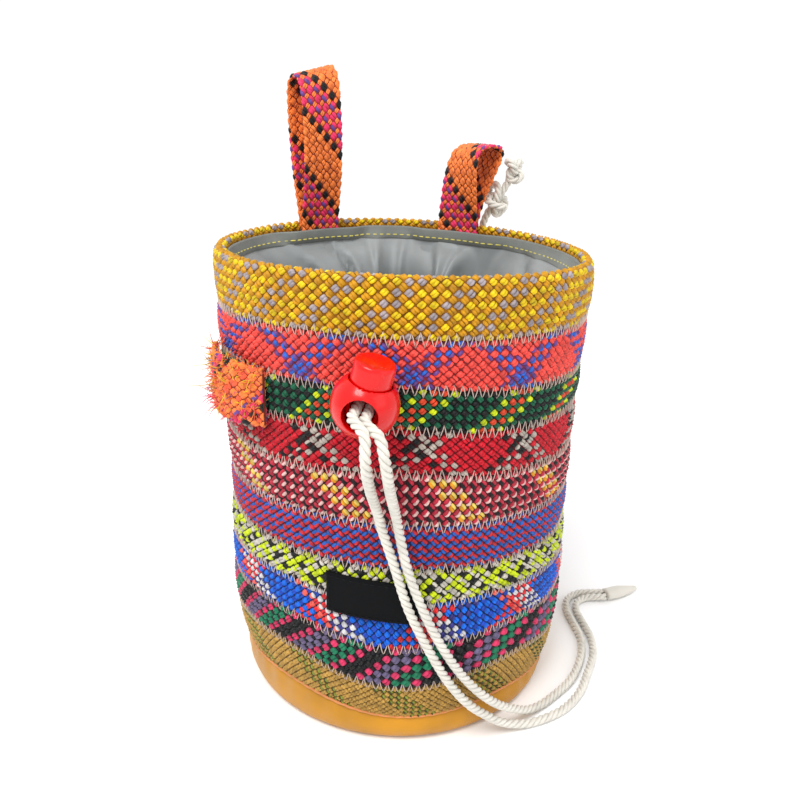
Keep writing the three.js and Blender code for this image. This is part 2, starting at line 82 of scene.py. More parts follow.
# Weave
YARN_RISE = 0.82
YARN_SINK = -0.25
BACKING_DEPTH = 0.66
STRAND_FILL = 0.97
STRAND_ALONG = np.linspace(-0.53, 0.53, 5)
STRAND_NARROWING = 0.2
STRAND_ACROSS = np.array([0, 0.3, 0.72, 1])
STRAND_SWELL = np.array([0.62, 1, 0.8, 0])

# Seam stitches
STITCH_PITCH = 2.38
STITCH_REACH = 2.1
STITCH_DIAMETER = 0.3

# Base
BASE_FLOOR_RADIUS = 51.5
BASE_SEAM_RADIUS = 55.5
BASE_PUCKERS = 46

# Lining
LINING_SET_DOWN = 1.5
LINING_WALL = 0.5
GATHER_DEPTH = 9
FOLD_DEPTH = 7.5
CREASE_DEPTH = 5.4
POCKET_DEPTH = 4.4
HEM_HEIGHT = 4.4
HEM_STITCHES = 130
HEM_STITCH_RISE = 1.5
LINING_COLUMNS = 360

# Hanging loops
STRAP_WIDTH = 16
STRAP_THICKNESS = 1.5
STRAP_TAIL = 12
STRAP_CLEARANCE = 0.8
STRAP_RELIEF = 0.48
STRAP_CELL = 3.35
STRAP_ROWS = 22
STRAP_PROUD = (1.2, 0.82)
GAP = 0.3

# Brush loop
BRUSH_TOP = 123
BRUSH_HEIGHT = 20
BRUSH_WALL = 1.8
BRUSH_BULGE = 5.6
BRUSH_START_DEG = -39
BRUSH_END_DEG = -72
BRUSH_CURL = 0.16
BRUSH_RISING = "orange orange black magenta purple/orange orange orange flame"
BRUSH_FALLING = "flame orange orange/flame"

# Fibres of the brush loop: their number, and each colour's share on its upper and on its lower part
FIBRES = 720
FIBRE_RADIUS = 0.2
FIBRE_COLOURS = table(
    "yarn upper lower",
    ("orange", 0.46, 0.2),
    ("yellow", 0.3, 0.04),
    ("flame", 0.14, 0.14),
    ("magenta", 0.02, 0.38),
    ("pink", 0.03, 0.2),
    ("purple", 0.05, 0.04),
)

# Label
LABEL_WIDTH = 28
LABEL_HEIGHT = 13.6
LABEL_THICKNESS = 0.8
LABEL_Z = 55.2
LABEL_DEG = -7
LABEL_TILT_DEG = -2.5
LABEL_SEAM = 1.0
LABEL_STITCH = 1.5
LABEL_STITCH_PITCH = 2.1

# Cords
CORD_DIAMETER = 3
CORD_SPACING = 3.2
STRAND_RADIUS = 0.7
STRAND_CENTRE = 0.8
CORD_LAY = 7
SLEEVE_AT = (87.7, 25.9, 2.25)
SLEEVE_DEG = 20
SLEEVE_LENGTH = 15

# Ball lock
BALL_RADIUS = 9
LOCK_Z = 120
LOCK_DEG = -7.5
LOCK_TILT_DEG = 14
LOCK_NOD_DEG = 6
CORD_HOLE = 4.6
BUTTON_RADIUS = 5.4
BUTTON_CLEARANCE = 0.35
BUTTON_TOP = 12.4
BUTTON_DISH = 0.6
BUTTON_FOOT = -2.8
BORE_FLOOR = -5.9

# Tie cord
TIE_KNOT = 7.6
TIE_TIP = 5.6

# Light: places and sizes in metres, power in watts
WORLD_STRENGTH = 1.08
LIGHTS = [
    dict(name="key", place=(-0.22, -0.42, 0.8), aim=(0, 0, 0.09), size=0.35, power=5),
    dict(name="fill", place=(0.6, -0.45, 0.4), aim=(0, 0, 0.08), size=0.5, power=0.6),
]

# Yarn colours, as red, green and blue from 0 to 255
YARNS = {
    "yellow": (214, 184, 8),
    "mustard": (190, 134, 8),
    "lilac_grey": (152, 142, 146),
    "coral": (226, 72, 62),
    "purple": (98, 62, 132),
    "sky": (34, 92, 190),
    "black": (14, 15, 16),
    "emerald": (6, 84, 56),
    "neon": (188, 204, 10),
    "vermilion": (206, 64, 30),
    "crimson": (186, 10, 32),
    "grey": (166, 158, 148),
    "rose": (170, 34, 54),
    "blush": (214, 176, 170),
    "gold": (206, 136, 20),
    "straw": (208, 184, 84),
    "red": (182, 36, 42),
    "denim": (30, 84, 168),
    "cream": (184, 178, 168),
    "royal": (4, 98, 208),
    "cobalt": (22, 66, 170),
    "scarlet": (206, 36, 40),
    "indigo": (52, 50, 120),
    "white": (198, 196, 196),
    "salmon": (222, 92, 78),
    "pink": (196, 44, 88),
    "lavender": (96, 86, 116),
    "leaf": (16, 112, 78),
    "charcoal": (24, 24, 28),
    "tan": (176, 138, 66),
    "olive": (62, 66, 24),
    "lime": (128, 134, 46),
    "orange": (244, 122, 54),
    "flame": (232, 88, 54),
    "magenta": (222, 46, 94),
}

# Close woven cloths and threads: colour, threads in a millimetre, relief, roughness, and their gloss
CLOTHS = {
    "seam_thread": dict(rgb=(190, 170, 158), threads=1.2, depth=0.05, roughness=0.6),
    "base_nylon": dict(rgb=(190, 130, 3), threads=2.2, depth=0.1, roughness=0.42),
    "base_piping": dict(rgb=(206, 130, 74), threads=1.4, depth=0.08, roughness=0.6),
    "lining_nylon": dict(rgb=(134, 138, 138), threads=2.6, depth=0.04, roughness=0.34, sheen=0.05,
                         specular=0.5),
    "hem_nylon": dict(rgb=(118, 121, 116), threads=2.6, depth=0.06, roughness=0.6),
    "hem_thread": dict(rgb=(214, 200, 96), threads=1.4, depth=0.05, roughness=0.6),
    "label_satin": dict(rgb=(8, 9, 11), threads=2.4, depth=0.06, roughness=0.7, sheen=0, specular=0.1),
    "label_thread": dict(rgb=(20, 21, 24), threads=1.4, depth=0.05, roughness=0.7, sheen=0, specular=0.1),
}

# Bands from the rim down: heights are shares of the shell's, radii shares of the rim's at the lower seam.
# A yarn pair is written as its two strands; "count" cells go round the bag, in "rows" rows. The rising
# strands follow the list "rising" and the falling ones "falling", each repeated round the bag. "stretch"
# widens the cells on the bag's right, and "proud" is the size of the rising and of the falling strands.
# Each band's last colour, a dark tone of its yarns, is painted shade for the gaps between the strands.
BANDS = [
    dict(
        node="band_01_gold", slot="gold_sheath", height=0.11, radius=0.992, count=110, rows=11, offset=0.5,
        rising="lilac_grey lilac_grey yellow yellow yellow",
        falling="mustard",
        gap_shade=(120, 76, 10),
    ),
    dict(
        node="band_02_coral", slot="coral_sheath", height=0.105, radius=0.983, count=110, rows=10, offset=0,
        rising="coral coral coral coral/purple purple/sky sky/purple purple/coral coral coral coral",
        falling="coral coral coral coral coral coral coral/purple purple/sky sky/purple purple/coral",
        gap_shade=(116, 34, 36),
    ),
    dict(
        node="band_03_green", slot="green_sheath", height=0.088, radius=0.967, count=117, rows=9, offset=0,
        rising="black black neon vermilion vermilion neon black black black",
        falling="emerald",
        gap_shade=(8, 20, 14),
    ),
    dict(
        node="band_04_crimson", slot="crimson_sheath", height=0.095, radius=0.968, count=110, rows=10,
        offset=0.5,
        rising="crimson crimson black grey/black grey crimson crimson crimson crimson crimson",
        falling="grey grey crimson crimson crimson crimson crimson crimson crimson black",
        gap_shade=(70, 8, 14),
    ),
    dict(
        node="band_05_burgundy", slot="burgundy_sheath", height=0.106, radius=0.963, count=110, rows=9,
        offset=0.5,
        rising="rose/blush",
        falling="black/rose black/rose gold/straw gold/straw gold/straw black/rose black/rose black/rose "
        "black/rose black/rose black/rose",
        gap_shade=(70, 16, 24),
    ),
    dict(
        node="band_06_herringbone", slot="herringbone_sheath", height=0.096, radius=0.965, count=110, rows=10,
        offset=0,
        rising="denim/red",
        falling="denim/red",
        gap_shade=(60, 24, 50),
    ),
    dict(
        node="band_07_neon", slot="neon_sheath", height=0.082, radius=0.978, count=110, rows=8, offset=0,
        rising="cream neon neon/cream cream neon black cream neon/cream neon cream/black",
        falling="neon neon black/cream cream neon neon/cream black cream/neon neon black",
        gap_shade=(30, 34, 16),
    ),
    dict(
        node="band_08_blue", slot="blue_sheath", height=0.097, radius=0.975, count=132, rows=10, offset=0.5,
        first_row=1, proud=(0.96, 1.04),
        rising="cobalt cobalt cobalt cobalt scarlet scarlet scarlet scarlet indigo indigo indigo cobalt",
        falling="salmon/white white white white royal royal royal royal royal royal royal salmon",
        gap_shade=(12, 26, 60),
    ),
    dict(
        node="band_09_lavender", slot="lavender_sheath", height=0.107, radius=0.972, count=126, rows=10,
        offset=0, stretch=0.2, proud=(1.26, 0.74),
        rising="pink lavender lavender pink leaf leaf pink black black",
        falling="charcoal",
        gap_shade=(14, 14, 18),
    ),
    dict(
        node="band_10_tan", slot="tan_sheath", height=0.114, radius=0.925, count=144, rows=12, offset=0,
        rising="tan",
        falling="olive/lime tan tan tan tan tan tan tan tan olive/lime olive/lime olive/lime",
        gap_shade=(84, 62, 24),
    ),
]

# Lining from its mouth down: depth as a share of the bag's height, draw as a share of GATHER_DEPTH
LINING_LEVELS = table(
    "down draw",
    (0, 0),
    (0.022, 0.12),
    (0.06, 0.72),
    (0.1, 0.96),
    (0.225, 1),
    (0.32, 0.78),
    (0.48, 0.3),
    (0.72, 0.05),
)

# Main folds of the lining, in the places of the CAD's: place, spread, share of FOLD_DEPTH and drift
LINING_FOLDS = table(
    "deg spread depth drift",
    (20, 16, 0.5, 5),
    (62, 18, -0.5, -6),
    (104, 17, 0.8, -16),
    (136, 13, -0.7, 8),
    (160, 12, 1, 0),
    (184, 12, -0.6, 0),
    (208, 12, 0.7, -14),
    (230, 12, 0.8, -16),
    (272, 20, -0.5, 6),
    (318, 16, 0.6, -6),
)

# Sharp creases between the folds: place, width, share of CREASE_DEPTH and drift
LINING_CREASES = table(
    "deg width depth drift",
    (122, 3.5, 0.8, -16),
    (129, 2.5, -0.6, -10),
    (147, 3, 0.9, 10),
    (154, 2.2, -0.5, 5),
    (166, 2.5, 0.7, -4),
    (173, 3, -0.8, -8),
    (179, 2.4, 0.6, 3),
    (190, 2.5, 0.8, 4),
    (197, 2.5, -0.7, -3),
    (215, 3, 0.8, -12),
    (222, 2.4, -0.7, -16),
    (240, 3.4, 0.8, -18),
    (252, 4, -0.6, -10),
    (90, 4, 0.6, -14),
    (60, 4, 0.6, -4),
    (33, 4, -0.6, 6),
    (3, 4, 0.5, 3),
    (340, 4, -0.6, -5),
    (300, 4, 0.6, 8),
)

# Hanging loops: place, height, leg spread, low pinch, and the top's skew, twist and lean, as in the CAD
HANGING_LOOPS = table(
    "node deg height spread pinch skew twist aside out",
    ("hanging_loop_left", 216, 53.5, 9, 0, 0.24, 0, -1, 1),
    ("hanging_loop_right", 158, 30, 12, 0.8, 0, 36, 6, 3),
)
LOOP_LEG = table(
    "rise stand",
    (0, 0),
    (0.12, 0.22),
    (0.35, 0.75),
    (0.6, 1),
    (0.82, 0.98),
    (0.93, 0.8),
    (0.985, 0.4),
)
LOOP_RISING = "orange orange orange orange orange black magenta purple/magenta magenta purple/magenta black"
LOOP_FALLING = "orange"

# Plan of the brush loop: place as a share of its arc, stand as a share of its bulge
BRUSH_PLAN = table(
    "along stand",
    (0, 0),
    (0.1, 0.25),
    (0.24, 0.72),
    (0.42, 1),
    (0.6, 0.9),
    (0.78, 0.5),
    (0.92, 0.12),
    (1, 0),
)

# Routes of the two cords after the lock, as in the CAD
CORD_ROUTES = {
    "drawcord_left": [
        (-8.5, -82.4, 117.4), (-8.2, -84.2, 113), (-7.9, -82.6, 107.8), (-7.3, -77.6, 101),
        (-6.5, -71.4, 94.2), (-5.5, -66.2, 87.8), (-4.2, -63.3, 80.6), (-1.1, -62.8, 70.4),
        (3.6, -62.8, 54.8), (10.8, -61.7, 38.4),
        (16.9, -59.7, 26.2), (23.2, -57.3, 16.8), (29.4, -54.2, 9.9), (35.8, -51.3, 4.4), (43.6, -48.6, 1.8),
        (51.7, -45.1, 1.6), (58.3, -40.5, 1.6), (64.6, -32.8, 1.6), (69.6, -22.6, 1.6), (73.8, -12.4, 1.6),
        (75.2, -3, 1.6), (74.2, 6.6, 1.6), (73.2, 14.6, 1.6), (74.6, 20.6, 1.6), (78.8, 23.8, 1.7),
        (83.2, 24.2, 1.9), (87.4, 24.3, 2.1),
    ],
    "drawcord_right": [
        (-4.8, -82.4, 116.8), (-3.6, -84.1, 112.5), (-2.9, -82.4, 107.2), (-2.3, -77.2, 100.4),
        (-1.5, -71, 93.5), (-0.6, -66, 87), (0.5, -63.2, 79.6), (2.8, -62.8, 68.8),
        (8.9, -62.4, 51.8), (15.6, -60.5, 37.4),
        (21.9, -58, 26.6), (28, -55.5, 18.6), (33.6, -52, 12.2), (39.2, -47.8, 7), (44.8, -43.6, 3),
        (50.4, -39.2, 1.6), (56.2, -33.8, 1.6), (61.9, -27.6, 1.6), (66.4, -19.8, 1.6), (69.8, -11, 1.6),
        (71.2, -2.4, 1.6), (70.3, 6.4, 1.6), (69.4, 15.2, 1.6), (71.2, 23, 1.6), (77, 27.4, 1.7),
        (82.4, 27.7, 1.9), (86.9, 27.5, 2.1),
    ],
}
TIE_ROUTE = [
    (30.2, 54.9, 142.5), (30.5, 55.2, 149.5), (32.2, 55.2, 154.6), (35.4, 54.9, 159.6), (38.6, 54.8, 165),
    (41.4, 54.9, 171),
]


def camera():
    data = bpy.data.cameras.new("camera")
    data.lens = CAMERA_LENS
    data.shift_x = CAMERA_SHIFT
    data.clip_start = 0.01
    eye = bpy.data.objects.new("camera", data)
    turn = Matrix.Rotation(math.radians(CAMERA_PITCH_DEG), 4, "X")
    roll = Matrix.Rotation(math.radians(CAMERA_ROLL_DEG), 4, "Z")
    eye.matrix_world = Matrix.Translation(Vector(CAMERA_AT) * MM) @ turn @ roll
    bpy.context.scene.collection.objects.link(eye)
    bpy.context.scene.camera = eye


# Curves


def smooth_line(points, step):
    """Points every step or so along a centripetal Catmull-Rom curve through these ones."""
    points = [np.array(p, float) for p in points]
    ends = [2 * points[0] - points[1]] + points + [2 * points[-1] - points[-2]]
    out = []
    for p0, p1, p2, p3 in zip(ends, ends[1:], ends[2:], ends[3:]):
        knots = [0.0]
        for a, b in ((p0, p1), (p1, p2), (p2, p3)):
            knots.append(knots[-1] + math.sqrt(np.linalg.norm(b - a)) + 1e-9)
        t0, t1, t2, t3 = knots
        for t in np.linspace(t1, t2, 24, endpoint=False):
            a1 = (t1 - t) / (t1 - t0) * p0 + (t - t0) / (t1 - t0) * p1
            a2 = (t2 - t) / (t2 - t1) * p1 + (t - t1) / (t2 - t1) * p2
            a3 = (t3 - t) / (t3 - t2) * p2 + (t - t2) / (t3 - t2) * p3
            b1 = (t2 - t) / (t2 - t0) * a1 + (t - t0) / (t2 - t0) * a2
            b2 = (t3 - t) / (t3 - t1) * a2 + (t - t1) / (t3 - t1) * a3
            out.append((t2 - t) / (t2 - t1) * b1 + (t - t1) / (t2 - t1) * b2)
    return resampled(np.array(out + [points[-1]]), step)


def distances(line):
    """How far along a line each of its points lies."""
    return np.concatenate([[0], np.cumsum(np.linalg.norm(np.diff(line, axis=0), axis=1))])


def resampled(line, step):
    reach = distances(line)
    places = np.linspace(0, reach[-1], max(int(round(reach[-1] / step)), 2) + 1)
    return np.stack([np.interp(places, reach, line[:, i]) for i in range(line.shape[1])], axis=1)


def frames_along(line):
    """Tangent and two sideways directions at each point of a line, without twist."""
    tangent = np.gradient(line, axis=0)
    tangent /= np.linalg.norm(tangent, axis=1)[:, None]
    side = np.cross(tangent[0], (0.3, 0.2, 1))
    side /= np.linalg.norm(side)
    sides = []
    for t in tangent:
        side = side - t * side.dot(t)
        side = side / np.linalg.norm(side)
        sides.append(side)
    sides = np.array(sides)
    return tangent, sides, np.cross(tangent, sides)


# Meshes


def grid_faces(rows, columns, closed=False):
    """Quads of a grid of points numbered row by row, closed across its columns if wanted."""
    i = np.arange(rows - 1)[:, None]
    j = np.arange(columns if closed else columns - 1)[None, :]
    k = (j + 1) % columns
    this_row, next_row = i * columns, (i + 1) * columns
    quads = np.stack([this_row + j, this_row + k, next_row + k, next_row + j], axis=-1)
    return quads.reshape(-1, 4)


def ring_faces(rows, columns):
    """Quads of a grid closed across its columns and from its last row to its first."""
    last = (rows - 1) * columns
    around = np.arange(columns)
    after = (around + 1) % columns
    closing = np.stack([last + around, last + after, after, around], axis=-1)
    return np.concatenate([grid_faces(rows, columns, closed=True), closing])


def capped_faces(rows, columns):
    """Quads of a tube of points, with a face over each of its ends."""
    last = (rows - 1) * columns
    ends = [list(range(columns))[::-1], [last + i for i in range(columns)]]
    return grid_faces(rows, columns, closed=True).tolist() + ends


def tube_mesh(line, radius, sides, taper=1.0):
    """Points and faces of a round tube with closed ends along a line."""
    _, across, up = frames_along(line)
    angle = np.linspace(0, 2 * np.pi, sides, endpoint=False)
    radii = radius * np.linspace(1, taper, len(line))[:, None, None]
    ring = np.cos(angle)[None, :, None] * across[:, None] + np.sin(angle)[None, :, None] * up[:, None]
    points = (line[:, None] + radii * ring).reshape(-1, 3)
    return points, capped_faces(len(line), sides)


def object_of(name, points, faces, materials, which=None, uv=None):
    """A mesh object from points in millimetres; which holds each face's material, uv each point's."""
    mesh = bpy.data.meshes.new(name)
    faces = faces.tolist() if isinstance(faces, np.ndarray) else faces
    mesh.from_pydata((np.asarray(points) * MM).tolist(), [], faces)
    for material in materials:
        mesh.materials.append(material)
    if which is not None:
        mesh.polygons.foreach_set("material_index", np.asarray(which, np.int32))
    if uv is not None:
        corners = np.zeros(len(mesh.loops), np.int32)
        mesh.loops.foreach_get("vertex_index", corners)
        layer = mesh.uv_layers.new(name="strands")
        layer.data.foreach_set("uv", np.asarray(uv, float)[corners].ravel())
    mesh.polygons.foreach_set("use_smooth", [True] * len(mesh.polygons))
    mesh.update()
    made = bpy.data.objects.new(name, mesh)
    bpy.context.scene.collection.objects.link(made)
    return made


def joined_parts(parts):
    """Several (points, faces) as one."""
    points, faces, start = [], [], 0
    for part_points, part_faces in parts:
        points.append(part_points)
        faces += [[start + i for i in face] for face in part_faces]
        start += len(part_points)
    return np.concatenate(points), faces


def finish_piece(made, nodes=(), body="bag"):
    if nodes:
        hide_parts(*nodes)
    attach(made, body)
    return made


# Materials


def linear(rgb):
    shares = np.array(rgb, float) / 255
    out = np.where(shares <= 0.04045, shares / 12.92, ((shares + 0.055) / 1.055) ** 2.4)
    return (*out.tolist(), 1)


def new_material(name, rgb, roughness, sheen=0.0, specular=0.5, coat=0.0):
    material = bpy.data.materials.new(name)
    material.use_nodes = True
    tree = material.node_tree
    shader = tree.nodes["Principled BSDF"]
    shader.inputs["Base Color"].default_value = linear(rgb)
    shader.inputs["Roughness"].default_value = roughness
    shader.inputs["Sheen Weight"].default_value = sheen
    shader.inputs["Specular IOR Level"].default_value = specular
    shader.inputs["Coat Weight"].default_value = coat
    material.diffuse_color = linear(rgb)
    return material, tree, shader


def add(tree, kind, **settings):
    node = tree.nodes.new(kind)
    for key, value in settings.items():
        if key in node.inputs:
            node.inputs[key].default_value = value
        else:
            setattr(node, key, value)
    return node


def stretched(tree, source, scale=(1, 1, 1)):
    """A texture coordinate stretched by three scales."""
    place = add(tree, "ShaderNodeTexCoord")
    mapping = add(tree, "ShaderNodeMapping")
    mapping.inputs["Scale"].default_value = scale
    tree.links.new(place.outputs[source], mapping.inputs["Vector"])
    return mapping.outputs["Vector"]


def noise_node(tree, vector, scale, detail=2.0):
    node = add(tree, "ShaderNodeTexNoise", Scale=scale, Detail=detail)
    tree.links.new(vector, node.inputs["Vector"])
    return node.outputs["Fac"]


def mottle(tree, shader, rgb, scale, depth):
    """Lets the colour drift between a darker and a lighter shade of itself."""
    ramp = add(tree, "ShaderNodeValToRGB")
    dark = tuple(c * (1 - depth) for c in rgb)
    light = tuple(min(c * (1 + 0.6 * depth) + 8 * depth, 255) for c in rgb)
    ramp.color_ramp.elements[0].color = linear(dark)
    ramp.color_ramp.elements[0].position = 0.3
    ramp.color_ramp.elements[1].color = linear(light)
    ramp.color_ramp.elements[1].position = 0.7
    tree.links.new(noise_node(tree, stretched(tree, "Object"), scale), ramp.inputs["Fac"])
    tree.links.new(ramp.outputs["Color"], shader.inputs["Base Color"])


def bumped(tree, shader, height, strength, distance):
    bump = add(tree, "ShaderNodeBump", Strength=strength, Distance=distance * MM)
    tree.links.new(height, bump.inputs["Height"])
    tree.links.new(bump.outputs["Normal"], shader.inputs["Normal"])


def yarn_material(name, fuzz=0.0):
    """Nylon yarn: fine filaments along the strand, a soft gloss and a little drift in its dye."""
    full_name = f"yarn_{name}" + ("_worn" if fuzz else "")
    if full_name in bpy.data.materials:
        return bpy.data.materials[full_name]
    rgb = YARNS[name]
    roughness = 0.42 + 0.3 * fuzz
    material, tree, shader = new_material(full_name, rgb, roughness, sheen=0.03 + 0.12 * fuzz, specular=0.26)
    mottle(tree, shader, rgb, 420, 0.16)
    filaments = stretched(tree, "UV", (0.7, 9, 1))
    bumped(tree, shader, noise_node(tree, filaments, 1.6, 1.0), 0.55, 0.12)
    return material


def gap_shade_material(name, rgb):
    """Painted shade: a dark colour on the wall under the yarns, for the shade in the gaps between them."""
    material, tree, shader = new_material(name, rgb, 0.85, sheen=0.1, specular=0.2)
    mottle(tree, shader, rgb, 300, 0.3)
    return material


def cloth_named(name):
    return woven_material(name, **CLOTHS[name])


def woven_material(name, rgb, threads, depth, roughness, sheen=0.1, specular=0.35):
    """Close plain weave: two crossed sets of fine threads in the cloth's own coordinates."""
    material, tree, shader = new_material(name, rgb, roughness, sheen=sheen, specular=specular)
    mottle(tree, shader, rgb, 60, 0.08)
    place = stretched(tree, "UV")
    waves = []
    for direction in ("X", "Y"):
        wave = add(tree, "ShaderNodeTexWave", bands_direction=direction, Scale=threads, Distortion=0.6)
        tree.links.new(place, wave.inputs["Vector"])
        waves.append(wave.outputs["Fac"])
    mix = add(tree, "ShaderNodeMath", operation="MULTIPLY")
    tree.links.new(waves[0], mix.inputs[0])
    tree.links.new(waves[1], mix.inputs[1])
    bumped(tree, shader, mix.outputs[0], 0.5, depth)
    return material


def cord_material():
    rgb = (212, 208, 198)
    material, tree, shader = new_material("cord_nylon", rgb, 0.42, sheen=0.25, specular=0.45)
    mottle(tree, shader, rgb, 260, 0.05)
    bumped(tree, shader, noise_node(tree, stretched(tree, "UV", (0.5, 10, 1)), 1.2, 2.0), 0.5, 0.14)
    return material


def plastic_material(name, rgb):
    """Moulded glossy plastic with a faint ripple and fine wear in its gloss."""
    material, tree, shader = new_material(name, rgb, 0.2, specular=0.3, coat=0.2)
    shader.inputs["Coat Roughness"].default_value = 0.12
    shader.inputs["Subsurface Weight"].default_value = 0.02
    shader.inputs["Subsurface Radius"].default_value = (1, 0.12, 0.06)
    shader.inputs["Subsurface Scale"].default_value = 1.2 * MM
    place = stretched(tree, "Object")
    wear = add(tree, "ShaderNodeMapRange")
    wear.inputs["To Min"].default_value = 0.14
    wear.inputs["To Max"].default_value = 0.34
    tree.links.new(noise_node(tree, place, 500, 4.0), wear.inputs["Value"])
    tree.links.new(wear.outputs["Result"], shader.inputs["Roughness"])
    bumped(tree, shader, noise_node(tree, place, 180, 1.0), 0.12, 0.3)
    return material


# The shell's form


def shell_seams():
    total = sum(band["height"] for band in BANDS)
    seams, used = [(BAG_HEIGHT, RIM_RADIUS)], 0
    for band in BANDS:
        used += band["height"]
        seams.append((BAG_HEIGHT - SHELL_HEIGHT * used / total, RIM_RADIUS * band["radius"]))
    return seams


SEAMS = shell_seams()


def shell_radius(z):
    heights = [seam[0] for seam in SEAMS][::-1]
    radii = [seam[1] for seam in SEAMS][::-1]
    return np.interp(z, heights, radii)


def settled(points):
    """Where points of the upright bag come to lie once the bag has settled."""
    points = np.array(points, float)
    x, z = points[..., 0], points[..., 2]
    foot = np.minimum(z / BASE_HEIGHT, 1)
    up = np.maximum(z - BASE_HEIGHT, 0) / SHELL_HEIGHT
    lean = np.tan(np.radians(foot * (FOOT_LEAN_DEG + (RIM_LEAN_DEG - FOOT_LEAN_DEG) * up)))
    points[..., 2] = z - x * lean - RIM_DIP * up * (x / RIM_RADIUS) ** 2
    return points


def on_ring(angle, radius, z):
    angle, radius, z = np.broadcast_arrays(angle, radius, z)
    return np.stack([radius * np.sin(angle), -radius * np.cos(angle), z], axis=-1)


def shell_wobble(angle, z):
    """Slight lumps in the sewn cloth, the same for all that lies on it."""
    lumps = np.sin(3 * angle + z / 17) + np.sin(7 * angle - z / 11 + 1.3) + np.sin(13 * angle + z / 5 + 0.4)
    return SHELL_WOBBLE * lumps / 1.8


def seam_shift(index, angle):
    """How far a seam wanders up or down from its level course."""
    degrees = (np.degrees(angle) + 180) % 360 - 180
    course = SEAM_COURSES.get(index, dict(front=0, sides=0))
    right = np.exp(-(((degrees - QUARTER_DEG) / QUARTER_SPREAD_DEG) ** 2))
    left = np.exp(-(((degrees + QUARTER_DEG) / QUARTER_SPREAD_DEG) ** 2))
    front = np.exp(-((degrees / FRONT_SPREAD_DEG) ** 2))
    shift = course["front"] * front + course["sides"] * (right + left)
    if index in (0, len(BANDS)):
        return shift
    phase = 1.7 * index
    waves = np.sin(2 * angle + phase) + 0.7 * np.sin(5 * angle + 2 * phase) + 0.5 * np.sin(11 * angle)
    return shift + SEAM_WOBBLE * waves


def band_surface(index, angle, down, lift):
    """A point on a band: down runs from 0 at its upper seam to 1 at its lower one, lift stands off it."""
    (top, upper_radius), (bottom, lower_radius) = SEAMS[index], SEAMS[index + 1]
    top = top + seam_shift(index, angle)
    bottom = bottom + seam_shift(index + 1, angle)
    height = top - bottom
    share = np.clip(down, 0, 1)
    crown = BAND_CROWN * (1 - np.abs(2 * share - 1) ** 2.6)
    radius = upper_radius + (lower_radius - upper_radius) * share + crown - BACKING_DEPTH
    z = top - height * share
    radius = radius + shell_wobble(angle, z)
    if index == 0:
        over = np.clip(np.maximum(-down, 0) * height / RIM_FOLD, 0, 9)
        turn = np.minimum(over, math.pi)
        radius = radius - (RIM_FOLD + lift) * (1 - np.cos(turn)) + lift
        z = z + (0.9 + lift) * np.sin(turn) - np.maximum(over - math.pi, 0) * RIM_FOLD
        return settled(on_ring(angle, radius, z))
    past = np.maximum(-down, 0) + np.maximum(down - 1, 0)
    return settled(on_ring(angle, radius + lift - past * height * 0.9, z))


# Weave


def yarn_pairs(words):
    """Yarn pairs of a list such as "coral coral/purple": each word is one strand pair."""
    return [tuple((word.split("/") * 2)[:2]) for word in words.split()]


def weave(place, columns, rows, offset, rising, falling, closed, rng, fuzz=0.0, proud=(1, 1)):
    """Two crossing families of yarn pairs as raised strands.

    place(column, row, lift) gives points for arrays. A cell covers one crossing: on even rows the rising
    strands are on top, on odd rows the falling ones. Returns points, faces, each face's yarn and the uv."""
    rising, falling = yarn_pairs(rising), yarn_pairs(falling)
    row = np.arange(rows[0], rows[1])
    column = np.arange(columns if closed else columns - 1)
    cell_row, cell_column = (a.ravel() for a in np.meshgrid(row, column, indexing="ij"))
    odd = cell_row % 2
    centre = cell_column + offset + odd / 2
    shape = (len(STRAND_ALONG), len(STRAND_ACROSS))
    pillow = np.cos(np.pi * STRAND_ALONG * 0.93)[:, None] ** 0.75
    narrowed = 1 - STRAND_NARROWING * (2 * STRAND_ALONG[:, None]) ** 2
    palette, all_points, all_faces, all_which, all_uv, start = [], [], [], [], [], 0
    for family, pairs in ((0, rising), (1, falling)):
        chosen = np.nonzero(odd == family)[0]
        x, r = centre[chosen], cell_row[chosen]
        half = r / 2
        index = np.rint(x + half - offset if family == 0 else x - half - offset).astype(int) % len(pairs)
        for side in (0, 1):
            along = STRAND_ALONG[:, None] * np.ones(shape)
            across = STRAND_ACROSS if side else -STRAND_ACROSS[::-1]
            swell = pillow * (STRAND_SWELL if side else STRAND_SWELL[::-1])[None, :]
            across = across[None, :] / 2 * STRAND_FILL * narrowed
            alpha, beta = (across, along) if family == 0 else (along, across)
            lean = rng.normal(0, 0.035, (len(chosen), 1, 1))
            push = rng.normal(0, 0.025, (len(chosen), 2, 1, 1))
            size = rng.normal(1, 0.07, (len(chosen), 1, 1)) * proud[family]
            a = alpha[None] * proud[family] + lean * beta[None] + push[:, 0]
            b = beta[None] * proud[family] - lean * alpha[None] + push[:, 1]
            column_at = x[:, None, None] + (a + b) / 2
            row_at = r[:, None, None] + (a - b)
            lift = YARN_SINK + (YARN_RISE * size - YARN_SINK) * swell[None]
            points = place(column_at, row_at, lift).reshape(-1, 3)
            faces = grid_faces(*shape)
            if family == 1:
                faces = faces[:, ::-1]
            count = shape[0] * shape[1]
            faces = faces[None] + (np.arange(len(chosen)) * count)[:, None, None] + start
            names = [pair[side] for pair in pairs]
            for name in names:
                if name not in palette:
                    palette.append(name)
            lookup = np.array([palette.index(name) for name in names])
            uv = np.stack([along * 1.7 * 1.6, across * 1.5 * 2], axis=-1)
            drift = rng.uniform(0, 40, (len(chosen), 1, 1, 2))
            all_points.append(points)
            all_faces.append(faces.reshape(-1, 4))
            all_which.append(np.repeat(lookup[index], len(grid_faces(*shape))))
            all_uv.append((uv[None] + drift).reshape(-1, 2))
            start += len(points)
    materials = [yarn_material(name, fuzz) for name in palette]
    points, faces, which, uv = (np.concatenate(part) for part in (all_points, all_faces, all_which, all_uv))
    return points, faces, which, uv, materials
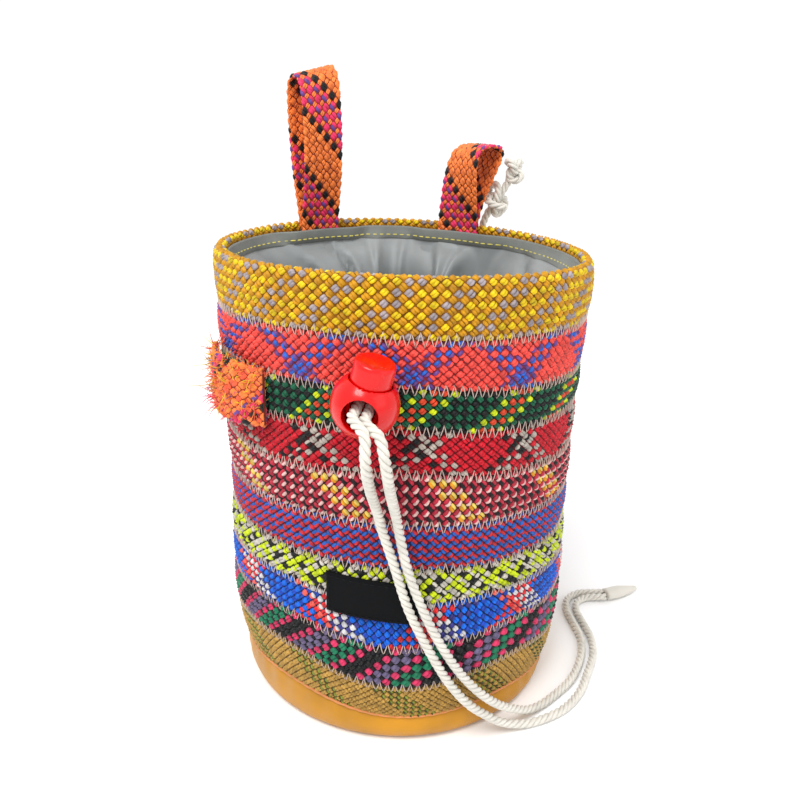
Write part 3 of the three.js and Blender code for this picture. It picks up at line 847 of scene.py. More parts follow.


# Adds the wall under the strands, coloured with painted shade for the gaps between them.
def with_backing(woven, backing_points, backing_faces, gap_shade):
    points, faces, which, uv, materials = woven
    start = len(points)
    extra = np.asarray(backing_faces) + start
    return (
        np.concatenate([points, backing_points]),
        np.concatenate([faces, extra]),
        np.concatenate([which, np.full(len(extra), len(materials))]),
        np.concatenate([uv, np.zeros((len(backing_points), 2))]),
        materials + [gap_shade],
    )


def eased_angle(column, count, stretch):
    """Cells lie a little closer at the bag's front and back than at its sides, and stretched on its right."""
    turn = 2 * np.pi * column / count
    return turn - PITCH_EASE * np.sin(2 * turn) + stretch * np.maximum(np.sin(turn), 0)


def band(index, rng):
    spec = BANDS[index]
    first_row = spec.get("first_row", 0)
    height = SEAMS[index][0] - SEAMS[index + 1][0]
    if index == 0:
        pitch = height / (spec["rows"] - 0.5)
        rows = (-3, spec["rows"])
    else:
        pitch = height / spec["rows"]
        rows = (first_row, first_row + spec["rows"])

    def place(column, row, lift):
        angle = eased_angle(column, spec["count"], spec.get("stretch", 0))
        down = (row * pitch if index == 0 else (row - first_row + 0.5) * pitch) / height
        return band_surface(index, angle, down, lift)

    woven = weave(place, spec["count"], rows, spec["offset"], spec["rising"], spec["falling"], True, rng,
                  proud=spec.get("proud", (1, 1)))
    angle = np.linspace(0, 2 * np.pi, 112, endpoint=False)
    first = -4.2 / height if index == 0 else -0.05
    shares = np.concatenate([np.linspace(first, 0, 6, endpoint=False) if index == 0 else [first],
                             np.linspace(0, 1, 9), [1.05]])
    outer = np.stack([band_surface(index, angle, np.full_like(angle, share), 0) for share in shares])
    bottom, top = outer[-1].copy(), outer[0].copy()
    inner = np.stack([bottom, (bottom + top) / 2, top])
    for ring in inner[:2 if index == 0 else 3]:
        reach = np.hypot(ring[:, 0], ring[:, 1])
        ring[:, :2] *= ((reach - BAND_WALL + 0.9) / reach)[:, None]
    sections = np.concatenate([outer, inner])
    faces = ring_faces(len(sections), len(angle))[:, ::-1]
    name = spec["node"].replace("band", "sheath")
    # Painted shade for the gaps between the yarns
    gap_shade = gap_shade_material(name + "_gap_shade", spec["gap_shade"])
    points, faces, which, uv, materials = with_backing(woven, sections.reshape(-1, 3), faces, gap_shade)
    made = object_of(name, points, faces, materials, which, uv)
    return finish_piece(made, [spec["node"]])


def seam_stitches(index, rng, thread):
    """Zigzag thread over the seam below a band."""
    seam_z, seam_radius = SEAMS[index + 1]
    count = int(round(2 * np.pi * seam_radius / STITCH_PITCH))
    turns = 2 * count
    angle = (np.arange(turns + 1) + rng.normal(0, 0.05, turns + 1)) * np.pi / count
    angle[-1] = angle[0] + 2 * np.pi
    sign = np.where(np.arange(turns + 1) % 2 == 0, 1, -1)
    reach = sign * STITCH_REACH * rng.normal(1, 0.06, turns + 1)
    height_above = SEAMS[index][0] - seam_z
    height_below = seam_z - SEAMS[index + 2][0] if index + 2 < len(SEAMS) else BASE_HEIGHT

    def at(where, up, lift):
        above = band_surface(index, where, 1 - np.maximum(up, 0) / height_above, lift)
        below = band_surface(index + 1, where, np.maximum(-up, 0) / height_below, lift)
        return np.where((up >= 0)[..., None], above, below)

    along = np.linspace(0, 1, 5)
    where = angle[:-1, None] + (angle[1:] - angle[:-1])[:, None] * along
    up = reach[:-1, None] + (reach[1:] - reach[:-1])[:, None] * along
    lift = np.array([-0.1, 0.62, 0.92, 0.62, -0.1]) + 0 * up
    lines = at(where, up, lift)
    tangent = np.gradient(lines, axis=1)
    tangent /= np.linalg.norm(tangent, axis=2)[..., None]
    outward = lines * (1, 1, 0)
    outward /= np.linalg.norm(outward, axis=2)[..., None]
    side = np.cross(tangent, outward)
    side /= np.linalg.norm(side, axis=2)[..., None]
    normal = np.cross(side, tangent)
    corner = np.linspace(0, 2 * np.pi, 4, endpoint=False)
    ring = np.cos(corner)[:, None] * side[:, :, None] + np.sin(corner)[:, None] * normal[:, :, None]
    points = lines[:, :, None] + STITCH_DIAMETER / 2 * ring
    sides = len(corner)
    faces = grid_faces(len(along), sides, closed=True)
    caps = np.array([[3, 2, 1, 0], [16, 17, 18, 19]])
    faces = np.concatenate([faces, caps])
    faces = faces[None] + (np.arange(turns) * len(along) * sides)[:, None, None]
    round_it = corner[None, None] * 0.2 + 0 * up[..., None]
    uv = np.stack(np.broadcast_arrays(along[None, :, None] * 4, round_it), -1)
    name = f"seam_stitches_{index + 1:02d}"
    made = object_of(name, points.reshape(-1, 3), faces.reshape(-1, 4), [thread], uv=uv.reshape(-1, 2))
    return finish_piece(made)


# Base


def base_piece(cloth, piping):
    """A shallow cup of close nylon cloth, puckered where it is sewn to the lowest band."""
    top = BASE_HEIGHT
    columns = 280
    angle = np.linspace(0, 2 * np.pi, columns, endpoint=False)
    floor = BASE_FLOOR_RADIUS
    profile = [
        (0.02, 0.25), (0.5 * floor, 0.1), (0.9 * floor, 0.04), (floor, 0.15), (floor + 1.7, 0.45),
        (floor + 3.1, 1.3), (floor + 3.95, 2.6), (floor + 4.3, 4.1), (floor + 4.25, 5.6), (floor + 3.9, 7),
        (floor + 3.3, top), (floor + 1.9, top + 0.5), (floor + 1.2, 6), (floor + 0.4, 2.2), (0.02, 2),
    ]
    rings = []
    for radius, z in profile:
        wall = radius > floor
        puckers = np.sin(BASE_PUCKERS * angle + 0.8 * np.sin(5 * angle)) * 0.6 + np.sin(31 * angle + 1) * 0.4
        depth = 0.34 * np.clip((z - 2) / 5, 0, 1) * wall
        sag = 0.35 * np.sin(3 * angle + 1.2) * math.sin(math.pi * min(z / top, 1)) * wall
        rise = seam_shift(len(BANDS), angle) * np.clip((z - 2.2) / (top - 2.2), 0, 1)
        rings.append(on_ring(angle, radius + depth * puckers + sag, z + rise))
    rings = np.array(rings)
    points = settled(rings).reshape(-1, 3)
    faces = grid_faces(len(profile), columns, closed=True)
    reach = np.hypot(rings[..., 0], rings[..., 1])
    along = distances(np.array(profile))[:, None] + 0 * reach
    uv = np.stack([angle[None] * reach, along], axis=-1).reshape(-1, 2)
    made = object_of("base_cloth", points, faces, [cloth], uv=uv)
    finish_piece(made, ["base"])
    ring = on_ring(angle, BASE_SEAM_RADIUS - 0.15 + 0.12 * np.sin(90 * angle),
                   top + 0.15 + seam_shift(len(BANDS), angle))
    line = settled(np.concatenate([ring, ring[:1]]))
    points, faces = tube_mesh(line, 0.5, 8)
    piece = object_of("base_piping", points, faces, [piping])
    return finish_piece(piece)


# Lining


def smoothstep(value, low, high):
    share = np.clip((value - low) / (high - low), 0, 1)
    return share * share * (3 - 2 * share)


def lining_inset(degrees, z):
    """How far the lining is drawn in from the shell: the gather, its folds, creases and the strap tails."""
    down = (BAG_HEIGHT - LINING_SET_DOWN - z) / BAG_HEIGHT
    downs = [level["down"] for level in LINING_LEVELS]
    draws = [level["draw"] for level in LINING_LEVELS]
    draw = np.interp(down, downs, draws)
    fold = np.zeros_like(draw)
    for one in LINING_FOLDS:
        away = (degrees - one["deg"] - one["drift"] * draw + 180) % 360 - 180
        fold += one["depth"] * np.exp(-((away / one["spread"]) ** 2) * 2)
    crease = np.zeros_like(draw)
    for one in LINING_CREASES:
        away = (degrees - one["deg"] - one["drift"] * draw + 180) % 360 - 180
        crease += one["depth"] / (1 + (away / one["width"]) ** 2) ** 1.5
    inset = draw * (GATHER_DEPTH + FOLD_DEPTH * fold + CREASE_DEPTH * crease)
    pocket = np.zeros_like(draw)
    half = math.degrees(STRAP_WIDTH / 2 / RIM_RADIUS)
    for loop in HANGING_LOOPS:
        away = np.abs((degrees - loop["deg"] + 180) % 360 - 180)
        pocket = np.maximum(pocket, 1 - smoothstep(away, 1.6 * half, 3 * half))
    pocket = POCKET_DEPTH * pocket * (1 - smoothstep(BAG_HEIGHT - z, 2 * STRAP_TAIL, 3 * STRAP_TAIL))
    return np.maximum(inset, pocket)


def lining_piece(cloth, hem_cloth, thread):
    columns = LINING_COLUMNS
    degrees = np.linspace(0, 360, columns, endpoint=False)
    mouth = BAG_HEIGHT - LINING_SET_DOWN
    foot = 2 * BASE_HEIGHT
    heights = np.concatenate([np.linspace(mouth, mouth - 5, 5), np.linspace(mouth - 7, 90, 22),
                              np.linspace(84, foot, 8)])

    def ring(z, wall):
        radius = np.minimum(shell_radius(z) - BAND_WALL, RIM_RADIUS - BAND_WALL) - GAP - 0.2 - wall
        inset = lining_inset(degrees, np.full(columns, float(z)))
        return on_ring(np.radians(degrees), radius - inset, np.full(columns, float(z)))

    floor_radius = BASE_FLOOR_RADIUS - 2.6
    floor_top = ((floor_radius, 3.6), (floor_radius - 3, 2.9), (0.5 * floor_radius, 2.8), (0.05, 2.8))
    floor_under = ((0.05, 2.4), (floor_radius - 2.4, 2.4), (floor_radius + 0.4, 3.2))
    flat, under = ([on_ring(np.radians(degrees), radius, z) for radius, z in floor] for floor in
                   (floor_top, floor_under))
    inside = [ring(z, LINING_WALL) for z in heights] + flat
    outside = under + [ring(z, 0) for z in heights[::-1][::3]]
    if not np.isclose(outside[-1][0, 2], mouth):
        outside.append(ring(mouth, 0))
    sections = settled(np.array(inside + outside))
    faces = ring_faces(len(sections), columns)
    reach = distances(sections[:, 0])
    arc = np.radians(degrees)[None] * RIM_RADIUS
    uv = np.stack(np.broadcast_arrays(arc, reach[:, None]), -1).reshape(-1, 2)
    made = object_of("lining_cloth", sections.reshape(-1, 3), faces, [cloth], uv=uv)
    finish_piece(made, ["lining"])

    section = [(0.3, 0.2), (0.45, 0.6), (-0.2, 0.85), (-HEM_HEIGHT / 2, 0.6), (0.3 - HEM_HEIGHT, 0.55),
               (-HEM_HEIGHT, 0.1)]
    strip = [ring(mouth + min(up, 0), LINING_WALL + stand) + (0, 0, max(up, 0)) for up, stand in section]
    strip = settled(np.array(strip))
    faces = grid_faces(len(strip), columns, closed=True)
    uv = np.stack(np.broadcast_arrays(arc, np.arange(len(strip))[:, None]), -1).reshape(-1, 2)
    hem = object_of("lining_hem", strip.reshape(-1, 3), faces, [hem_cloth], uv=uv)
    finish_piece(hem)

    stitch_z = mouth - HEM_HEIGHT + HEM_STITCH_RISE
    parts = []
    for i in range(HEM_STITCHES):
        angles = np.linspace(i, i + 0.72, 5) * 2 * np.pi / HEM_STITCHES
        z = np.full(5, stitch_z)
        radius = RIM_RADIUS - BAND_WALL - GAP - 0.2 - LINING_WALL - 0.72
        inset = lining_inset(np.degrees(angles), z)
        lift = np.array([-0.3, 0.1, 0.16, 0.1, -0.3])
        parts.append(tube_mesh(settled(on_ring(angles, radius - inset - lift, z)), 0.24, 5))
    points, faces = joined_parts(parts)
    row = object_of("hem_stitches", points, faces, [thread])
    finish_piece(row)
    return made


# Hanging loops and brush loop


def stadium(share, width, thickness):
    """Point and outward direction on a flat tube's section, share 0 to 1 round it from one edge."""
    radius = thickness / 2
    straight = width - thickness
    bend = math.pi * radius
    total = 2 * straight + 2 * bend
    run = (share % 1) * total
    turn = np.zeros_like(run)
    first = run < bend / 2
    face = (run >= bend / 2) & (run < bend / 2 + straight)
    far = (run >= bend / 2 + straight) & (run < 1.5 * bend + straight)
    back = (run >= 1.5 * bend + straight) & (run < 1.5 * bend + 2 * straight)
    near = run >= 1.5 * bend + 2 * straight
    turn = np.where(first, np.pi - run / radius, turn)
    turn = np.where(face, np.pi / 2, turn)
    turn = np.where(far, np.pi / 2 - (run - bend / 2 - straight) / radius, turn)
    turn = np.where(back, -np.pi / 2, turn)
    turn = np.where(near, -np.pi / 2 - (run - 1.5 * bend - 2 * straight) / radius, turn)
    middle = np.where(first | near, -straight / 2, 0) + np.where(far, straight / 2, 0)
    middle = middle + np.where(face, -straight / 2 + (run - bend / 2), 0)
    middle = middle + np.where(back, straight / 2 - (run - 1.5 * bend - straight), 0)
    return middle + radius * np.cos(turn), radius * np.sin(turn), np.cos(turn), np.sin(turn)


def strap_surface(centreline, width, thickness, bend_to_space):
    """Surface of a flat tube along a plane centreline: share along, share round, lift."""
    reach = distances(centreline)
    tangent = np.gradient(centreline, axis=0)
    tangent /= np.linalg.norm(tangent, axis=1)[:, None]

    def surface(along, around, lift):
        place = np.clip(along, 0, 1) * reach[-1]
        p = [np.interp(place, reach, centreline[:, i]) for i in (0, 1)]
        t = [np.interp(place, reach, tangent[:, i]) for i in (0, 1)]
        across, stand, out_across, out_stand = stadium(around, width, thickness)
        off = stand + lift * out_stand
        return bend_to_space(p[0] - t[1] * off, p[1] + t[0] * off, across + lift * out_across)

    return surface, reach[-1]


def strap_piece(name, surface, length, rows, rising, falling, gap_shade, rng, fuzz=0.0):
    cells = int(round(length / STRAP_CELL))

    def place(column, row, lift):
        return surface(column / cells, (row + 0.5) / rows, lift * STRAP_RELIEF)

    woven = weave(place, cells + 1, (0, rows), 0, rising, falling, False, rng, fuzz, proud=STRAP_PROUD)
    steps, around = int(length / 1.6), 24
    along, share = np.meshgrid(np.linspace(0, 1, steps + 1), np.arange(around) / around, indexing="ij")
    points = surface(along, share, np.zeros_like(along)).reshape(-1, 3)
    faces = grid_faces(steps + 1, around, closed=True)
    points, faces, which, uv, materials = with_backing(woven, points, faces, gap_shade)
    made = object_of(name, points, faces, materials, which, uv)
    bm = bmesh.new()
    bm.from_mesh(made.data)
    first, last = len(points) - (steps + 1) * around, len(points) - around
    bm.verts.ensure_lookup_table()
    # The strap's ends are closed with the painted-shade colour.
    for start, turned in ((first, True), (last, False)):
        ring = [bm.verts[start + i] for i in range(around)]
        cap = bm.faces.new(ring[::-1] if turned else ring)
        cap.material_index = len(materials) - 1
    bm.to_mesh(made.data)
    bm.free()
    return made


def hanging_loop(loop, rng, gap_shade):
    """One strap of sheath, folded over, both tails sewn in between the shell and the lining."""
    tail_out = STRAP_THICKNESS + GAP

    def stand_off(row):
        return row["stand"] * (1 - loop["pinch"] * (1 - row["rise"])) * loop["spread"] / 2

    inner = [(0, -STRAP_TAIL)] + [(-stand_off(row), row["rise"] * loop["height"]) for row in LOOP_LEG]
    outer = [(tail_out - out, up) for out, up in inner[::-1]]
    centreline = smooth_line(inner + [(tail_out / 2, loop["height"])] + outer, 0.8)
    seat = RIM_RADIUS - BAND_WALL - STRAP_CLEARANCE / 2 - tail_out - STRAP_THICKNESS / 2 - GAP
    out_x, out_y, _ = on_ring(math.radians(loop["deg"]), 1, 0)
    rim_z = settled(np.array([seat * out_x, 0, BAG_HEIGHT]))[2]

    def bend_to_space(out, up, across):
        rise = np.maximum(up, 0) / loop["height"]
        twist = np.radians(loop["twist"] * rise)
        turned_out = out * np.cos(twist) - across * np.sin(twist)
        turned_across = out * np.sin(twist) + across * np.cos(twist)
        hug = across**2 / (2 * seat)
        radial = seat + turned_out - hug * (1 - np.minimum(rise, 1)) + loop["out"] * rise**2
        tangent = turned_across + loop["aside"] * rise**1.5
        return np.stack([
            radial * out_x + tangent * out_y,
            radial * out_y - tangent * out_x,
            rim_z + up + loop["skew"] * across * rise,
        ], axis=-1)

    surface, length = strap_surface(centreline, STRAP_WIDTH - 0.7, STRAP_THICKNESS - 0.7, bend_to_space)
    name = loop["node"].replace("hanging_loop", "strap_loop")
    made = strap_piece(name, surface, length, STRAP_ROWS, LOOP_RISING, LOOP_FALLING, gap_shade, rng)
    return finish_piece(made, [loop["node"]])


def brush_loop(rng, gap_shade):
    """A short strip of worn sheath that stands off the shell as an upright tube, furry with broken yarn."""
    seat = float(shell_radius(BRUSH_TOP)) + BAND_CROWN + GAP + BRUSH_WALL / 2
    rows = []
    for row in BRUSH_PLAN:
        degrees = BRUSH_START_DEG + (BRUSH_END_DEG - BRUSH_START_DEG) * row["along"]
        rows.append(on_ring(math.radians(degrees), seat + row["stand"] * (BRUSH_BULGE - BRUSH_WALL), 0)[:2])
    centreline = smooth_line(rows, 0.8)
    middle_z = BRUSH_TOP - BRUSH_HEIGHT / 2

    def bend_to_space(x, y, across):
        stand = np.clip((np.hypot(x, y) - seat) / (BRUSH_BULGE - BRUSH_WALL), 0, 1)
        curl = (2 * across / BRUSH_HEIGHT) ** 4
        hold = 1 - BRUSH_CURL * curl * stand * (BRUSH_BULGE - BRUSH_WALL) / seat
        z = middle_z + across * (1 - 0.1 * (1 - stand))
        return settled(np.stack(np.broadcast_arrays(x * hold, y * hold, z), axis=-1))

    surface, length = strap_surface(centreline, BRUSH_HEIGHT - 0.7, BRUSH_WALL - 0.7, bend_to_space)
    made = strap_piece("brush_strap", surface, length, 26, BRUSH_RISING, BRUSH_FALLING, gap_shade, rng, fuzz=1.0)
    finish_piece(made, ["brush_loop"])
    parts, which = [], []
    names, upper, lower = ([colour[key] for colour in FIBRE_COLOURS] for key in ("yarn", "upper", "lower"))
    for _ in range(FIBRES):
        along, around = rng.uniform(0.02, 0.98), rng.uniform(0.02, 0.98)
        foot = surface(np.array(along), np.array(around), np.array(0.1))
        tip = surface(np.array(along), np.array(around), np.array(1.1))
        outward = (tip - foot) / np.linalg.norm(tip - foot)
        lean = rng.normal(0, 0.9, 3)
        curl = rng.normal(0, 0.7, 3)
        reach = rng.uniform(1.2, 3.4)
        steps = np.linspace(0, 1, 5)[:, None]
        line = foot + steps * reach * (outward * 0.5 + lean * 0.5) + steps**2 * reach * curl * 0.6
        parts.append(tube_mesh(line, FIBRE_RADIUS, 3, 0.3))
        chances = upper if foot[2] > middle_z - 0.2 * BRUSH_HEIGHT else lower
        which += [rng.choice(len(names), p=chances)] * len(parts[-1][1])
    points, faces = joined_parts(parts)
    fur = object_of("brush_fibres", points, faces, [yarn_material(name, 1.0) for name in names], which)
    return finish_piece(fur)


# Label


def label_piece(cloth, thread):
    """A bare woven patch with turned edges, sewn down with thread of its own colour."""
    radius = float(shell_radius(LABEL_Z)) + BAND_CROWN + GAP
    slope = math.tan(math.radians(LABEL_TILT_DEG))
    middle_x = radius * math.sin(math.radians(LABEL_DEG))

    def place(across, up, lift):
        angle = math.radians(LABEL_DEG) + across / radius
        ring = on_ring(angle, radius + lift, LABEL_Z + up)
        out = settled(ring)
        out[..., 2] += (out[..., 0] - middle_x) * slope
        return out

    columns, rows = 57, 29
    across, up = np.meshgrid(np.linspace(-1, 1, columns), np.linspace(-1, 1, rows), indexing="xy")
    edge = np.maximum(np.abs(across), np.abs(up))
    roll = np.sqrt(np.clip(1 - np.clip((edge - 0.93) / 0.07, 0, 1) ** 2, 0, 1))
    pucker = 0.05 * np.sin(24 * across) * np.clip((edge - 0.8) / 0.2, 0, 1)
    lift = LABEL_THICKNESS * (0.15 + 0.85 * roll) + pucker
    front = place(across * LABEL_WIDTH / 2, up * LABEL_HEIGHT / 2, lift)
    back = place(across * LABEL_WIDTH / 2, up * LABEL_HEIGHT / 2, -0.15 + 0 * across)
    points = np.concatenate([front.reshape(-1, 3), back.reshape(-1, 3)])
    faces = grid_faces(rows, columns)
    under = faces[:, ::-1] + rows * columns
    rim = list(range(columns)) + [columns * (i + 1) - 1 for i in range(1, rows)]
    rim += [columns * rows - 2 - i for i in range(columns - 1)]
    rim += [columns * i for i in range(rows - 2, 0, -1)]
    behind = rows * columns
    walls = [[rim[i - 1], rim[i - 1] + behind, rim[i] + behind, rim[i]] for i in range(len(rim))]
    uv = np.stack([across * LABEL_WIDTH / 2, up * LABEL_HEIGHT / 2], axis=-1).reshape(-1, 2)
    faces = np.concatenate([faces, under, np.array(walls)])
    made = object_of("label_cloth", points, faces, [cloth], uv=np.concatenate([uv, uv]))
    finish_piece(made, ["label_patch"])
    parts = []
    width, height = LABEL_WIDTH / 2 - LABEL_SEAM, LABEL_HEIGHT / 2 - LABEL_SEAM
    runs = [((-width, height), (width, height)), ((width, height), (width, -height)),
            ((width, -height), (-width, -height)), ((-width, -height), (-width, height))]
    for start, end in runs:
        start, end = np.array(start), np.array(end)
        total = np.linalg.norm(end - start)
        for i in range(int(total / LABEL_STITCH_PITCH)):
            share = (i * LABEL_STITCH_PITCH + np.linspace(0, LABEL_STITCH, 4)) / total
            flat = start + share[:, None] * (end - start)
            lift = LABEL_THICKNESS + np.array([-0.25, 0.1, 0.1, -0.25])
            parts.append(tube_mesh(place(flat[:, 0], flat[:, 1], lift), 0.17, 5))
    points, faces = joined_parts(parts)
    stitches = object_of("label_stitches", points, faces, [thread])
    return finish_piece(stitches)


# Ball lock


def lock_matrix():
    """The lock's own frame: its ball sits against the shell, its cord hole points out of the bag."""
    radius = float(shell_radius(LOCK_Z)) + BAND_CROWN + GAP + BALL_RADIUS
    place = settled(on_ring(math.radians(LOCK_DEG), radius, LOCK_Z))
    turn = Matrix.Rotation(math.radians(LOCK_DEG), 4, "Z")
    turn = turn @ Matrix.Rotation(math.radians(LOCK_NOD_DEG), 4, "X")
    turn = turn @ Matrix.Rotation(math.radians(LOCK_TILT_DEG), 4, "Y")
    return Matrix.Translation(Vector(place.tolist())) @ turn


def revolved(profile, sides, along="Z"):
    """Closed solid of (radius, height) pairs turned about an axis, first and last on the axis."""
    angle = np.linspace(0, 2 * np.pi, sides, endpoint=False)
    rings = np.array([on_ring(angle, max(radius, 0.001), z) for radius, z in profile])
    points = rings.reshape(-1, 3)
    if along == "Y":
        points = points[:, [0, 2, 1]] * (1, 1, -1)
    return points, capped_faces(len(profile), sides)


def moved(target, matrix):
    """Moves a mesh that is in metres by a matrix that is in millimetres."""
    target.data.transform(Matrix.Scale(1 / MM, 4))
    target.data.transform(Matrix.Scale(MM, 4) @ matrix)


def cut(target, points, faces):
    tool = object_of("cutter", points, faces, [])
    modifier = target.modifiers.new("cut", "BOOLEAN")
    modifier.operation = "DIFFERENCE"
    modifier.solver = "EXACT"
    modifier.object = tool
    applied(target)
    bpy.data.objects.remove(tool)


def applied(target):
    """Turns the object's modifiers into its mesh."""
    graph = bpy.context.evaluated_depsgraph_get()
    mesh = bpy.data.meshes.new_from_object(target.evaluated_get(graph))
    target.modifiers.clear()
    old = target.data
    target.data = mesh
    bpy.data.meshes.remove(old)


def softened(target, voxel, smoothing):
    """Rounds every edge of a moulded piece a little."""
    remesh = target.modifiers.new("mould", "REMESH")
    remesh.mode = "VOXEL"
    remesh.voxel_size = voxel * MM
    remesh.use_smooth_shade = True
    smooth = target.modifiers.new("round", "SMOOTH")
    smooth.factor = 0.5
    smooth.iterations = smoothing
    applied(target)


def lock_pieces(plastic, button_plastic):
    arc = np.linspace(-math.pi / 2, math.pi / 2, 41)
    half = [(BALL_RADIUS * math.cos(a), BALL_RADIUS * math.sin(a)) for a in arc]
    ball = object_of("lock_ball_shell", *revolved(half, 72), [plastic])
    bore = BUTTON_RADIUS + BUTTON_CLEARANCE
    beyond = 2 * BALL_RADIUS
    cut(ball, *revolved([(0, BORE_FLOOR), (bore, BORE_FLOOR), (bore, beyond), (0, beyond)], 48))
    lip = math.sqrt(BALL_RADIUS**2 - CORD_HOLE**2)
    front = [(0, -beyond), (CORD_HOLE, -beyond), (CORD_HOLE, lip - 1.2), (CORD_HOLE + 0.5, lip - 0.3),
             (CORD_HOLE + 1.7, lip + 0.7), (CORD_HOLE + 1.7, beyond), (0, beyond)]
    cut(ball, *revolved(front, 48, along="Y"))
    softened(ball, 0.27, 3)
    moved(ball, lock_matrix())
    ball.data.materials.clear()
    ball.data.materials.append(plastic)
    finish_piece(ball, ["lock_ball"])
    profile = [(0, BUTTON_FOOT), (BUTTON_RADIUS - 0.3, BUTTON_FOOT), (BUTTON_RADIUS, BUTTON_FOOT + 0.3)]
    profile += [(BUTTON_RADIUS, z) for z in np.linspace(BUTTON_FOOT + 2, BUTTON_TOP - 1.4, 8)]
    for a in np.linspace(0, math.pi / 2, 6)[1:]:
        profile.append((BUTTON_RADIUS - 0.9 * (1 - math.cos(a)), BUTTON_TOP - 0.9 + 0.9 * math.sin(a)))
    for share in (0.75, 0.62, 0.4, 0.2, 0):
        profile.append((BUTTON_RADIUS * share, BUTTON_TOP - BUTTON_DISH * (1 - (share / 0.8) ** 2)))
    button = object_of("lock_button_cap", *revolved(profile, 56), [button_plastic])
    low = CORD_DIAMETER / 2 + GAP
    wide = (CORD_SPACING + CORD_DIAMETER) / 2 + GAP
    box = np.array([(x, y, z) for z in (-low, low + 2.8) for x, y in
                    ((-wide, -20), (wide, -20), (wide, 20), (-wide, 20))])
    sides = [[3, 2, 1, 0], [4, 5, 6, 7], [0, 1, 5, 4], [1, 2, 6, 5], [2, 3, 7, 6], [3, 0, 4, 7]]
    cut(button, box, sides)
    moved(button, lock_matrix())
    button.data.shade_smooth()
    sharpened(button, 40)
    finish_piece(button, ["lock_button"], body="button")


def sharpened(target, degrees):
    """Marks the edges steeper than an angle as sharp."""
    bm = bmesh.new()
    bm.from_mesh(target.data)
    for edge in bm.edges:
        if len(edge.link_faces) == 2 and edge.calc_face_angle(0) > math.radians(degrees):
            edge.smooth = False
    bm.to_mesh(target.data)
    bm.free()


# Cords


def twisted_cord(name, line, material, step=0.7):
    """Three strands laid round each other along a line."""
    fine = resampled(np.asarray(line), step)
    _, side, up = frames_along(fine)
    run = distances(fine)
    parts, uvs = [], []
    sides = 8
    for strand in range(3):
        turn = -2 * np.pi * (run / CORD_LAY + strand / 3)
        path = fine + STRAND_CENTRE * (np.cos(turn)[:, None] * side + np.sin(turn)[:, None] * up)
        parts.append(tube_mesh(path, STRAND_RADIUS, sides))
        round_share = np.arange(sides) / sides * 4.4
        uvs.append(np.stack(np.broadcast_arrays(run[:, None], round_share[None] + run[:, None] * 0.35), -1))
    points, faces = joined_parts(parts)
    uv = np.concatenate([one.reshape(-1, 2) for one in uvs])
    return object_of(name, points, faces, [material], uv=uv)


def drawcords(material, sleeve_material):
    place = lock_matrix()
    shell_end = BALL_RADIUS - GAP
    made, lines = {}, {}
    for name, side in (("drawcord_left", -1), ("drawcord_right", 1)):
        inside = [place @ Vector((side * CORD_SPACING / 2, along, 0)) for along in
                  (shell_end, shell_end / 2, 0, -BALL_RADIUS / 2, -BALL_RADIUS)]
        lines[name] = smooth_line([tuple(p) for p in inside] + CORD_ROUTES[name], 1.2)
        made[name] = twisted_cord(name.replace("drawcord", "laid_cord"), lines[name], material)
        finish_piece(made[name], [name])
    sleeve = sleeve_piece(sleeve_material)


def sleeve_piece(material):
    """Heat-shrunk sleeve on the cords' ends: a flattened taper with the twist of the cords under it."""
    wide = (CORD_SPACING + CORD_DIAMETER) / 2
    flat = (SLEEVE_AT[2] - GAP / 2) / wide
    columns = 48
    angle = np.linspace(0, 2 * np.pi, columns, endpoint=False)
    shares = [(0, 0.3), (0, 0.93), (0.04, 1), (0.12, 0.97), (0.3, 0.98), (0.45, 0.9), (0.6, 0.76),
              (0.75, 0.6), (0.88, 0.45), (0.96, 0.38), (1, 0.3), (1, 0.05)]
    rings = []
    for along, size in shares:
        groove = 1 - 0.1 * (1 - along) * np.exp(-((np.cos(angle) / 0.22) ** 2))
        ripple = 1 + 0.02 * np.sin(5 * angle + 9 * along)
        radius = wide * size * groove * ripple
        rings.append(np.stack([np.full(columns, along * SLEEVE_LENGTH), radius * np.cos(angle),
                               radius * np.sin(angle) * (flat + (1 - flat) * along)], axis=-1))
    points = np.array(rings).reshape(-1, 3)
    faces = capped_faces(len(shares), columns)
    turn = math.radians(SLEEVE_DEG)
    x = points[:, 0] * math.cos(turn) - points[:, 1] * math.sin(turn) + SLEEVE_AT[0]
    y = points[:, 0] * math.sin(turn) + points[:, 1] * math.cos(turn) + SLEEVE_AT[1]
    made = object_of("cord_sleeve", np.stack([x, y, points[:, 2] + SLEEVE_AT[2]], axis=-1), faces, [material])
    return finish_piece(made, ["cord_end_sleeve"])


def overhand_knot(name, centre, reach, tilt, material):
    """A tightened overhand knot: a trefoil of cord."""
    turn = np.linspace(0, 2 * np.pi, 90, endpoint=False)
    size = (reach - 1.45) / 3
    loop = np.stack([np.sin(turn) + 2 * np.sin(2 * turn), np.cos(turn) - 2 * np.cos(2 * turn),
                     -1.15 * np.sin(3 * turn)], axis=-1) * size
    spin = np.array(Euler(tilt).to_matrix())
    line = np.concatenate([loop, loop[:1]]) @ spin.T + centre
    return finish_piece(twisted_cord(name, line, material, 0.8))


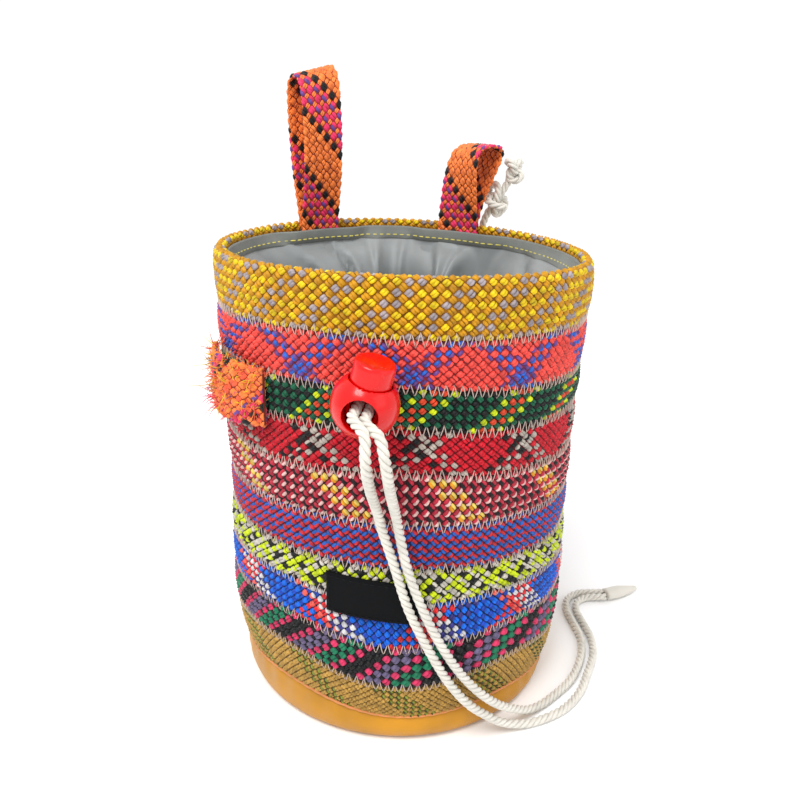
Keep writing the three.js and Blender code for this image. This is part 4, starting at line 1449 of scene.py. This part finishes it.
def tie_cord(material):
    line = smooth_line(TIE_ROUTE, 1.0)
    knot = overhand_knot("tie_knot", line[int(0.6 * (len(line) - 1))], TIE_KNOT, (0.5, 1.1, 0.3), material)
    tip = overhand_knot("tie_tip_knot", line[-1], TIE_TIP, (1.3, 0.2, 0.9), material)
    made = twisted_cord("tie_cord_laid", line, material)
    finish_piece(made, ["tie_cord"])


# Stage


def area_light(name, place, aim, size, power):
    """A square soft light, placed and aimed in metres."""
    data = bpy.data.lights.new(name, "AREA")
    data.size = size
    data.energy = power
    lamp = bpy.data.objects.new(name, data)
    lamp.location = place
    lamp.rotation_euler = (Vector(aim) - Vector(place)).to_track_quat("-Z", "Y").to_euler()
    bpy.context.scene.collection.objects.link(lamp)


def stage():
    bpy.ops.mesh.primitive_plane_add(size=8, location=(0, 0, 0))
    floor = bpy.context.object
    floor.name = "floor"
    material, _, _ = new_material("floor_white", (250, 250, 250), 0.9, specular=0.1)
    floor.data.materials.append(material)
    world = bpy.data.worlds.new("studio")
    world.use_nodes = True
    world.node_tree.nodes["Background"].inputs["Color"].default_value = (1, 1, 1, 1)
    world.node_tree.nodes["Background"].inputs["Strength"].default_value = WORLD_STRENGTH
    bpy.context.scene.world = world
    for light in LIGHTS:
        area_light(**light)
    bpy.context.scene.view_settings.view_transform = "Standard"


def build():
    rng = np.random.default_rng(SEED)
    camera()
    cord = cord_material()
    sleeve, _, _ = new_material("sleeve_film", (206, 202, 192), 0.3, specular=0.5)
    drawcords(cord, sleeve)
    tie_cord(cord)
    thread = cloth_named("seam_thread")
    for index in range(len(BANDS)):
        band(index, rng)
        if index + 1 < len(BANDS):
            seam_stitches(index, rng, thread)
    base_piece(cloth_named("base_nylon"), cloth_named("base_piping"))
    lining_piece(cloth_named("lining_nylon"), cloth_named("hem_nylon"), cloth_named("hem_thread"))
    # Painted shade for the gaps between the straps' yarns and on their closed ends
    strap_gap_shade = gap_shade_material("strap_gap_shade", (120, 40, 20))
    for loop in HANGING_LOOPS:
        hanging_loop(loop, rng, strap_gap_shade)
    brush_loop(rng, strap_gap_shade)
    label_piece(cloth_named("label_satin"), cloth_named("label_thread"))
    lock_pieces(plastic_material("lock_red", (206, 3, 3)), plastic_material("button_red", (212, 5, 4)))
    stage()


build()
